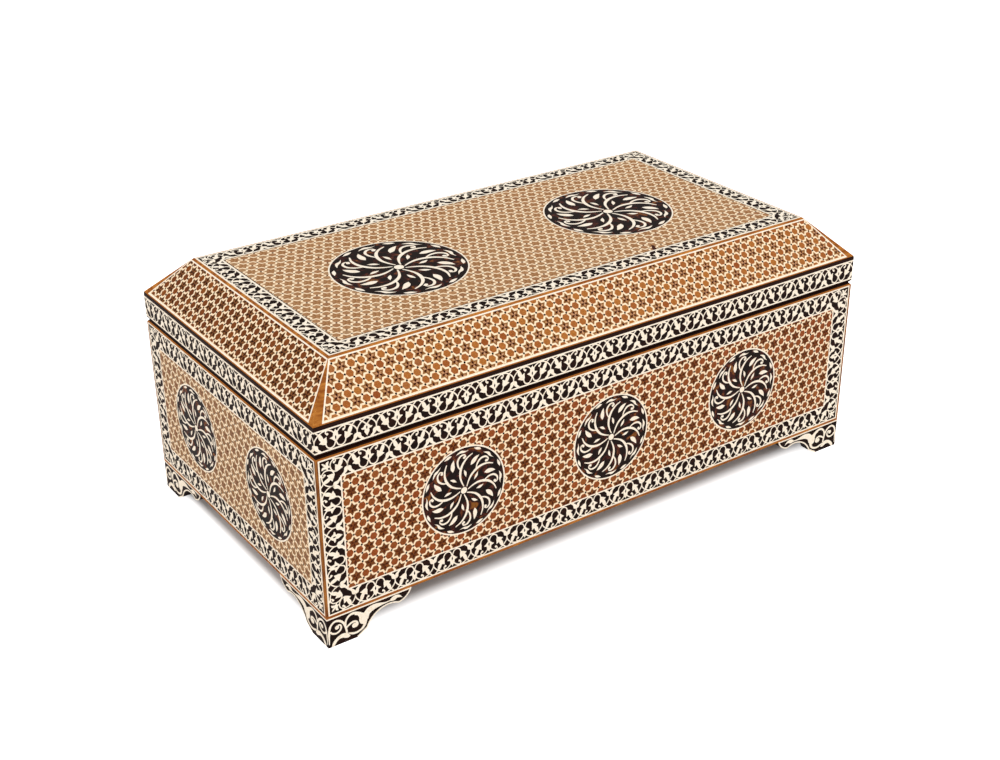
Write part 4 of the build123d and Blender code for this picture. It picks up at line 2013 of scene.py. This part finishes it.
@dataclass(frozen=True)
class Chest:
    """All the inlay of the chest, built side by side."""

    def build(self) -> list[Piece]:
        """Builds every new piece.

        Returns:
            The pieces, in the order made.
        """
        bone = Bone().material()
        carcass = Carcass()
        carcass.dress()
        carcass.dress_grounds(EBONY.material(), AMBER_BONE.material(), Tortoiseshell().material())
        work = [self.star_fields()]
        work += [inlay(bone) for inlay in (self.scrolls, self.roundels, self.feet, self.lines)]
        return [piece for pieces in work for piece in pieces]

    def star_fields(self) -> list[Piece]:
        """Lays the star tiles of the box, the slopes and the top.

        Returns:
            The tiles of each panel.
        """
        long_pattern = StarPattern(11.669, 10.666, dark_ray=1)
        end_pattern = StarPattern(11.740, 10.874, dark_ray=1)
        top_pattern = StarPattern(12.567, 10.898, dark_ray=1)
        long_side = (LONG_SIDE_WOODS, StarPattern(12.547, 11.053), (-4.51, -8.60), LONG_SIDE_DRIFT, 3)
        end = (GLARE_PAINTED_END_TILES, StarPattern(12.435, 10.884), (5.10, -2.63), END_DRIFT, 2)
        long_slope = (SHEEN_PAINTED_LONG_SLOPE_TILES, long_pattern, (-0.82, -0.35), LONG_SLOPE_DRIFT)
        end_slope = (SHADE_PAINTED_END_SLOPE_TILES, end_pattern, (1.08, -0.21), END_SLOPE_DRIFT)
        top = (SHEEN_PAINTED_TOP_TILES, top_pattern, (-0.87, -2.17), TOP_DRIFT, 2)
        walls = zip(WALLS.items(), (long_side, long_side, end, end))
        slopes = zip(SLOPES.items(), (long_slope, long_slope, end_slope, end_slope))
        fields = [
            StarField(f"{side}_star_panel", facing, Body.BOX, *layout, f"{side}_roundels", seed=seed)
            for seed, ((side, facing), layout) in enumerate(walls, WALL_SEED)
        ]
        fields += [
            StarField(f"lid_slope_panel_{side}", facing, Body.LID, *layout, margin=0.95, seed=seed)
            for seed, ((side, facing), layout) in enumerate(slopes, SLOPE_SEED)
        ]
        seats = {"seat_node": "lid_top_roundels", "seed": TOP_SEED}
        fields.append(StarField("lid_top_star_panel", Facing.TOP, Body.LID, *top, **seats))
        return [stars.build() for stars in fields]

    def scrolls(self, bone: Material) -> list[Piece]:
        """Lays the scroll borders and bands.

        Args:
            bone: what they are made of.

        Returns:
            The scrolls of each border and band.
        """
        repeats = RepeatSet.saw(ScrollDrawing())
        works = [
            ScrollBorder(f"{side}_border", facing, Body.BOX, "L" * lilies, "LDL")
            for (side, facing), lilies in zip(WALLS.items(), (14, 14, 7, 7))
        ]
        narrow = {"width": 14.5, "line": 1.4}
        works.append(ScrollBorder("lid_top_border", Facing.TOP, Body.LID, "L" * 12, "L" * 5, **narrow))
        long_band, end_band = "LDLLDLLLDLLLLLLLL", "LLLLDLLLL"
        works += [
            ScrollBand(f"lid_skirt_border_{side}", facing, Body.LID, order)
            for (side, facing), order in zip(WALLS.items(), (long_band, long_band, end_band, end_band))
        ]
        pieces = [work.build(repeats, bone) for work in works]
        repeats.clear_away()
        return pieces

    def roundels(self, bone: Material) -> list[Piece]:
        """Lays the ornament of every roundel.

        Args:
            bone: what it is made of.

        Returns:
            The ornament of each row.
        """
        rows = [
            RoundelOrnament(f"{side}_roundels", facing, Body.BOX, count)
            for (side, facing), count in zip(WALLS.items(), (3, 3, 2, 2))
        ]
        rows.append(RoundelOrnament("lid_top_roundels", Facing.TOP, Body.LID, 2))
        return [row.build(bone) for row in rows]

    def feet(self, bone: Material) -> list[Piece]:
        """Lays the scrolls of the four feet.

        Args:
            bone: what they are made of.

        Returns:
            The scrolls of each foot.
        """
        drawing = FootWing()
        wing = drawing.cut()
        feet = [FootScrolls(f"foot_{wall}_{end}", WALLS[wall], WALLS[end]) for wall, end in FEET]
        pieces = [foot.build(wing, drawing.saw.thickness, bone) for foot in feet]
        discard(wing)
        return pieces

    def lines(self, bone: Material) -> list[Piece]:
        """Lays the bone lines on the slopes, and the mended loss on the top.

        Args:
            bone: what the lines are made of.

        Returns:
            The lines of each slope, and the loss.
        """
        slopes = [SlopeLines(f"lid_slope_panel_{side}", facing) for side, facing in SLOPES.items()]
        loss = Loss("lid_top_star_panel", Facing.TOP, (71.7, -76.3))
        return [*(slope.build(bone) for slope in slopes), loss.build()]


# ---------------------------------------------------------------- studio


@dataclass(frozen=True)
class Studio:
    """A white table, a white surround and one broad soft light."""

    lens: float = 54.953
    sensor: float = 36.0
    nearest: float = 0.01
    camera_place: tuple[float, float, float] = (-0.57990, -0.82840, 0.58635)
    camera_turn: tuple[float, float, float] = (63.0625, 0.4556, -34.9210)
    floor_size: float = 30.0
    floor_colour: str = "#F3ECE8"
    floor_roughness: float = 0.9
    floor_glow: float = 0.95
    # The painted shadow under the chest: where the glow is gone and where it is full, in millimetres out
    # from the footprint's edge (negative is under the chest), and how much each millimetre counts along X
    # and along Y.
    painted_shadow_fade: tuple[float, float] = (-24.0, -5.0)
    painted_shadow_steepness: tuple[float, float] = (2.0, 1.0)
    surround: float = 0.85
    sun: float = 0.9
    sun_spread: float = 60.0
    sun_turn: tuple[float, float, float] = (48.0, 0.0, -30.0)

    def build(self) -> None:
        """Puts up the camera, the floor, the surround and the light."""
        self._camera()
        self._floor()
        self._surround()
        self._light()
        bpy.context.scene.view_settings.view_transform = "Standard"

    def _camera(self) -> None:
        """Puts up the camera, at its place and turn."""
        turn = tuple(math.radians(angle) for angle in self.camera_turn)
        bpy.ops.object.camera_add(location=self.camera_place, rotation=turn)
        camera = bpy.context.view_layer.objects.active
        camera.data.lens = self.lens
        camera.data.sensor_width = self.sensor
        camera.data.sensor_fit = "HORIZONTAL"
        camera.data.clip_start = self.nearest
        bpy.context.scene.camera = camera

    def _floor(self) -> None:
        """Lays a floor that glows white to the eye and in gloss, except under the chest: there the glow
        fades out in a painted shadow, where the floor's own shading shows.
        """
        low, high = (Vector(corner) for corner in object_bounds())
        bpy.ops.mesh.primitive_plane_add(size=self.floor_size)
        floor = bpy.context.view_layer.objects.active
        floor.name = "studio_floor"
        material, shader, place = new_material("white_floor")
        seen = self._seen_share(material, self.floor_glow, 0.0)
        factors = {0: seen, 1: self._painted_shadow_mask(material, place, high - low)}
        glow = add_node(material, "Math", factors, operation="MULTIPLY").outputs[0]
        set_inputs(shader, {"Base Color": linear(self.floor_colour), "Roughness": self.floor_roughness})
        set_inputs(shader, {"Emission Color": linear("#FFFFFF"), "Emission Strength": glow})
        clad(floor, material)
        floor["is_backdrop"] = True

    def _painted_shadow_mask(self, material: Material, place: Socket, size: Vector) -> Socket:
        """Masks the glow out of a painted shadow under the chest, shaped from the chest's footprint.

        Args:
            material: the floor's material.
            place: the place on the floor.
            size: the chest's size.

        Returns:
            One out on the open floor and nothing deep under the chest.
        """
        axes = add_node(material, "SeparateXYZ", {"Vector": place})
        reaches = {}
        for number, (axis, length, steepness) in enumerate(zip("XY", size, self.painted_shadow_steepness)):
            away = add_node(material, "Math", {0: axes.outputs[axis]}, operation="ABSOLUTE").outputs[0]
            terms = {0: away, 1: steepness, 2: -length / 2 * steepness}
            reaches[number] = add_node(material, "Math", terms, operation="MULTIPLY_ADD").outputs[0]
        outside = add_node(material, "Math", reaches, operation="MAXIMUM").outputs[0]
        start, end = (reach * MM for reach in self.painted_shadow_fade)
        limits = {"Value": outside, "From Min": start, "From Max": end}
        return add_node(material, "MapRange", limits, interpolation_type="SMOOTHSTEP").outputs[0]

    def _seen_share(self, owner: Material | bpy.types.World, seen: float, unseen: float) -> Socket:
        """Makes a strength that differs for rays that are seen and rays that only give light.

        Args:
            owner: the material or world that it is for.
            seen: the strength for camera, glossy and transmission rays.
            unseen: the strength for all others.

        Returns:
            The strength.
        """
        path = add_node(owner, "LightPath").outputs
        straight = {0: path["Is Camera Ray"], 1: path["Is Glossy Ray"]}
        mirrored_too = add_node(owner, "Math", straight, operation="MAXIMUM").outputs[0]
        through = {0: mirrored_too, 1: path["Is Transmission Ray"]}
        share = add_node(owner, "Math", through, operation="MAXIMUM").outputs[0]
        terms = {0: share, 1: seen - unseen, 2: unseen}
        return add_node(owner, "Math", terms, operation="MULTIPLY_ADD").outputs[0]

    def _surround(self) -> None:
        """Puts up a white world that lights the chest from all sides."""
        world = bpy.data.worlds.new("white_surround")
        world.use_nodes = True
        strength = self._seen_share(world, 1.0, self.surround)
        set_inputs(world.node_tree.nodes["Background"], {"Color": linear("#FFFFFF"), "Strength": strength})
        bpy.context.scene.world = world

    def _light(self) -> None:
        """Puts up one broad light above."""
        bpy.ops.object.light_add(type="SUN", rotation=tuple(math.radians(angle) for angle in self.sun_turn))
        sun = bpy.context.view_layer.objects.active
        sun.data.energy = self.sun
        sun.data.angle = math.radians(self.sun_spread)


def main() -> None:
    logging.basicConfig(level=logging.INFO, format="%(message)s")
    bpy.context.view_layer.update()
    Studio().build()
    pieces = Chest().build()
    LOG.info("%d new pieces", len(pieces))


if __name__ == "__main__":
    main()
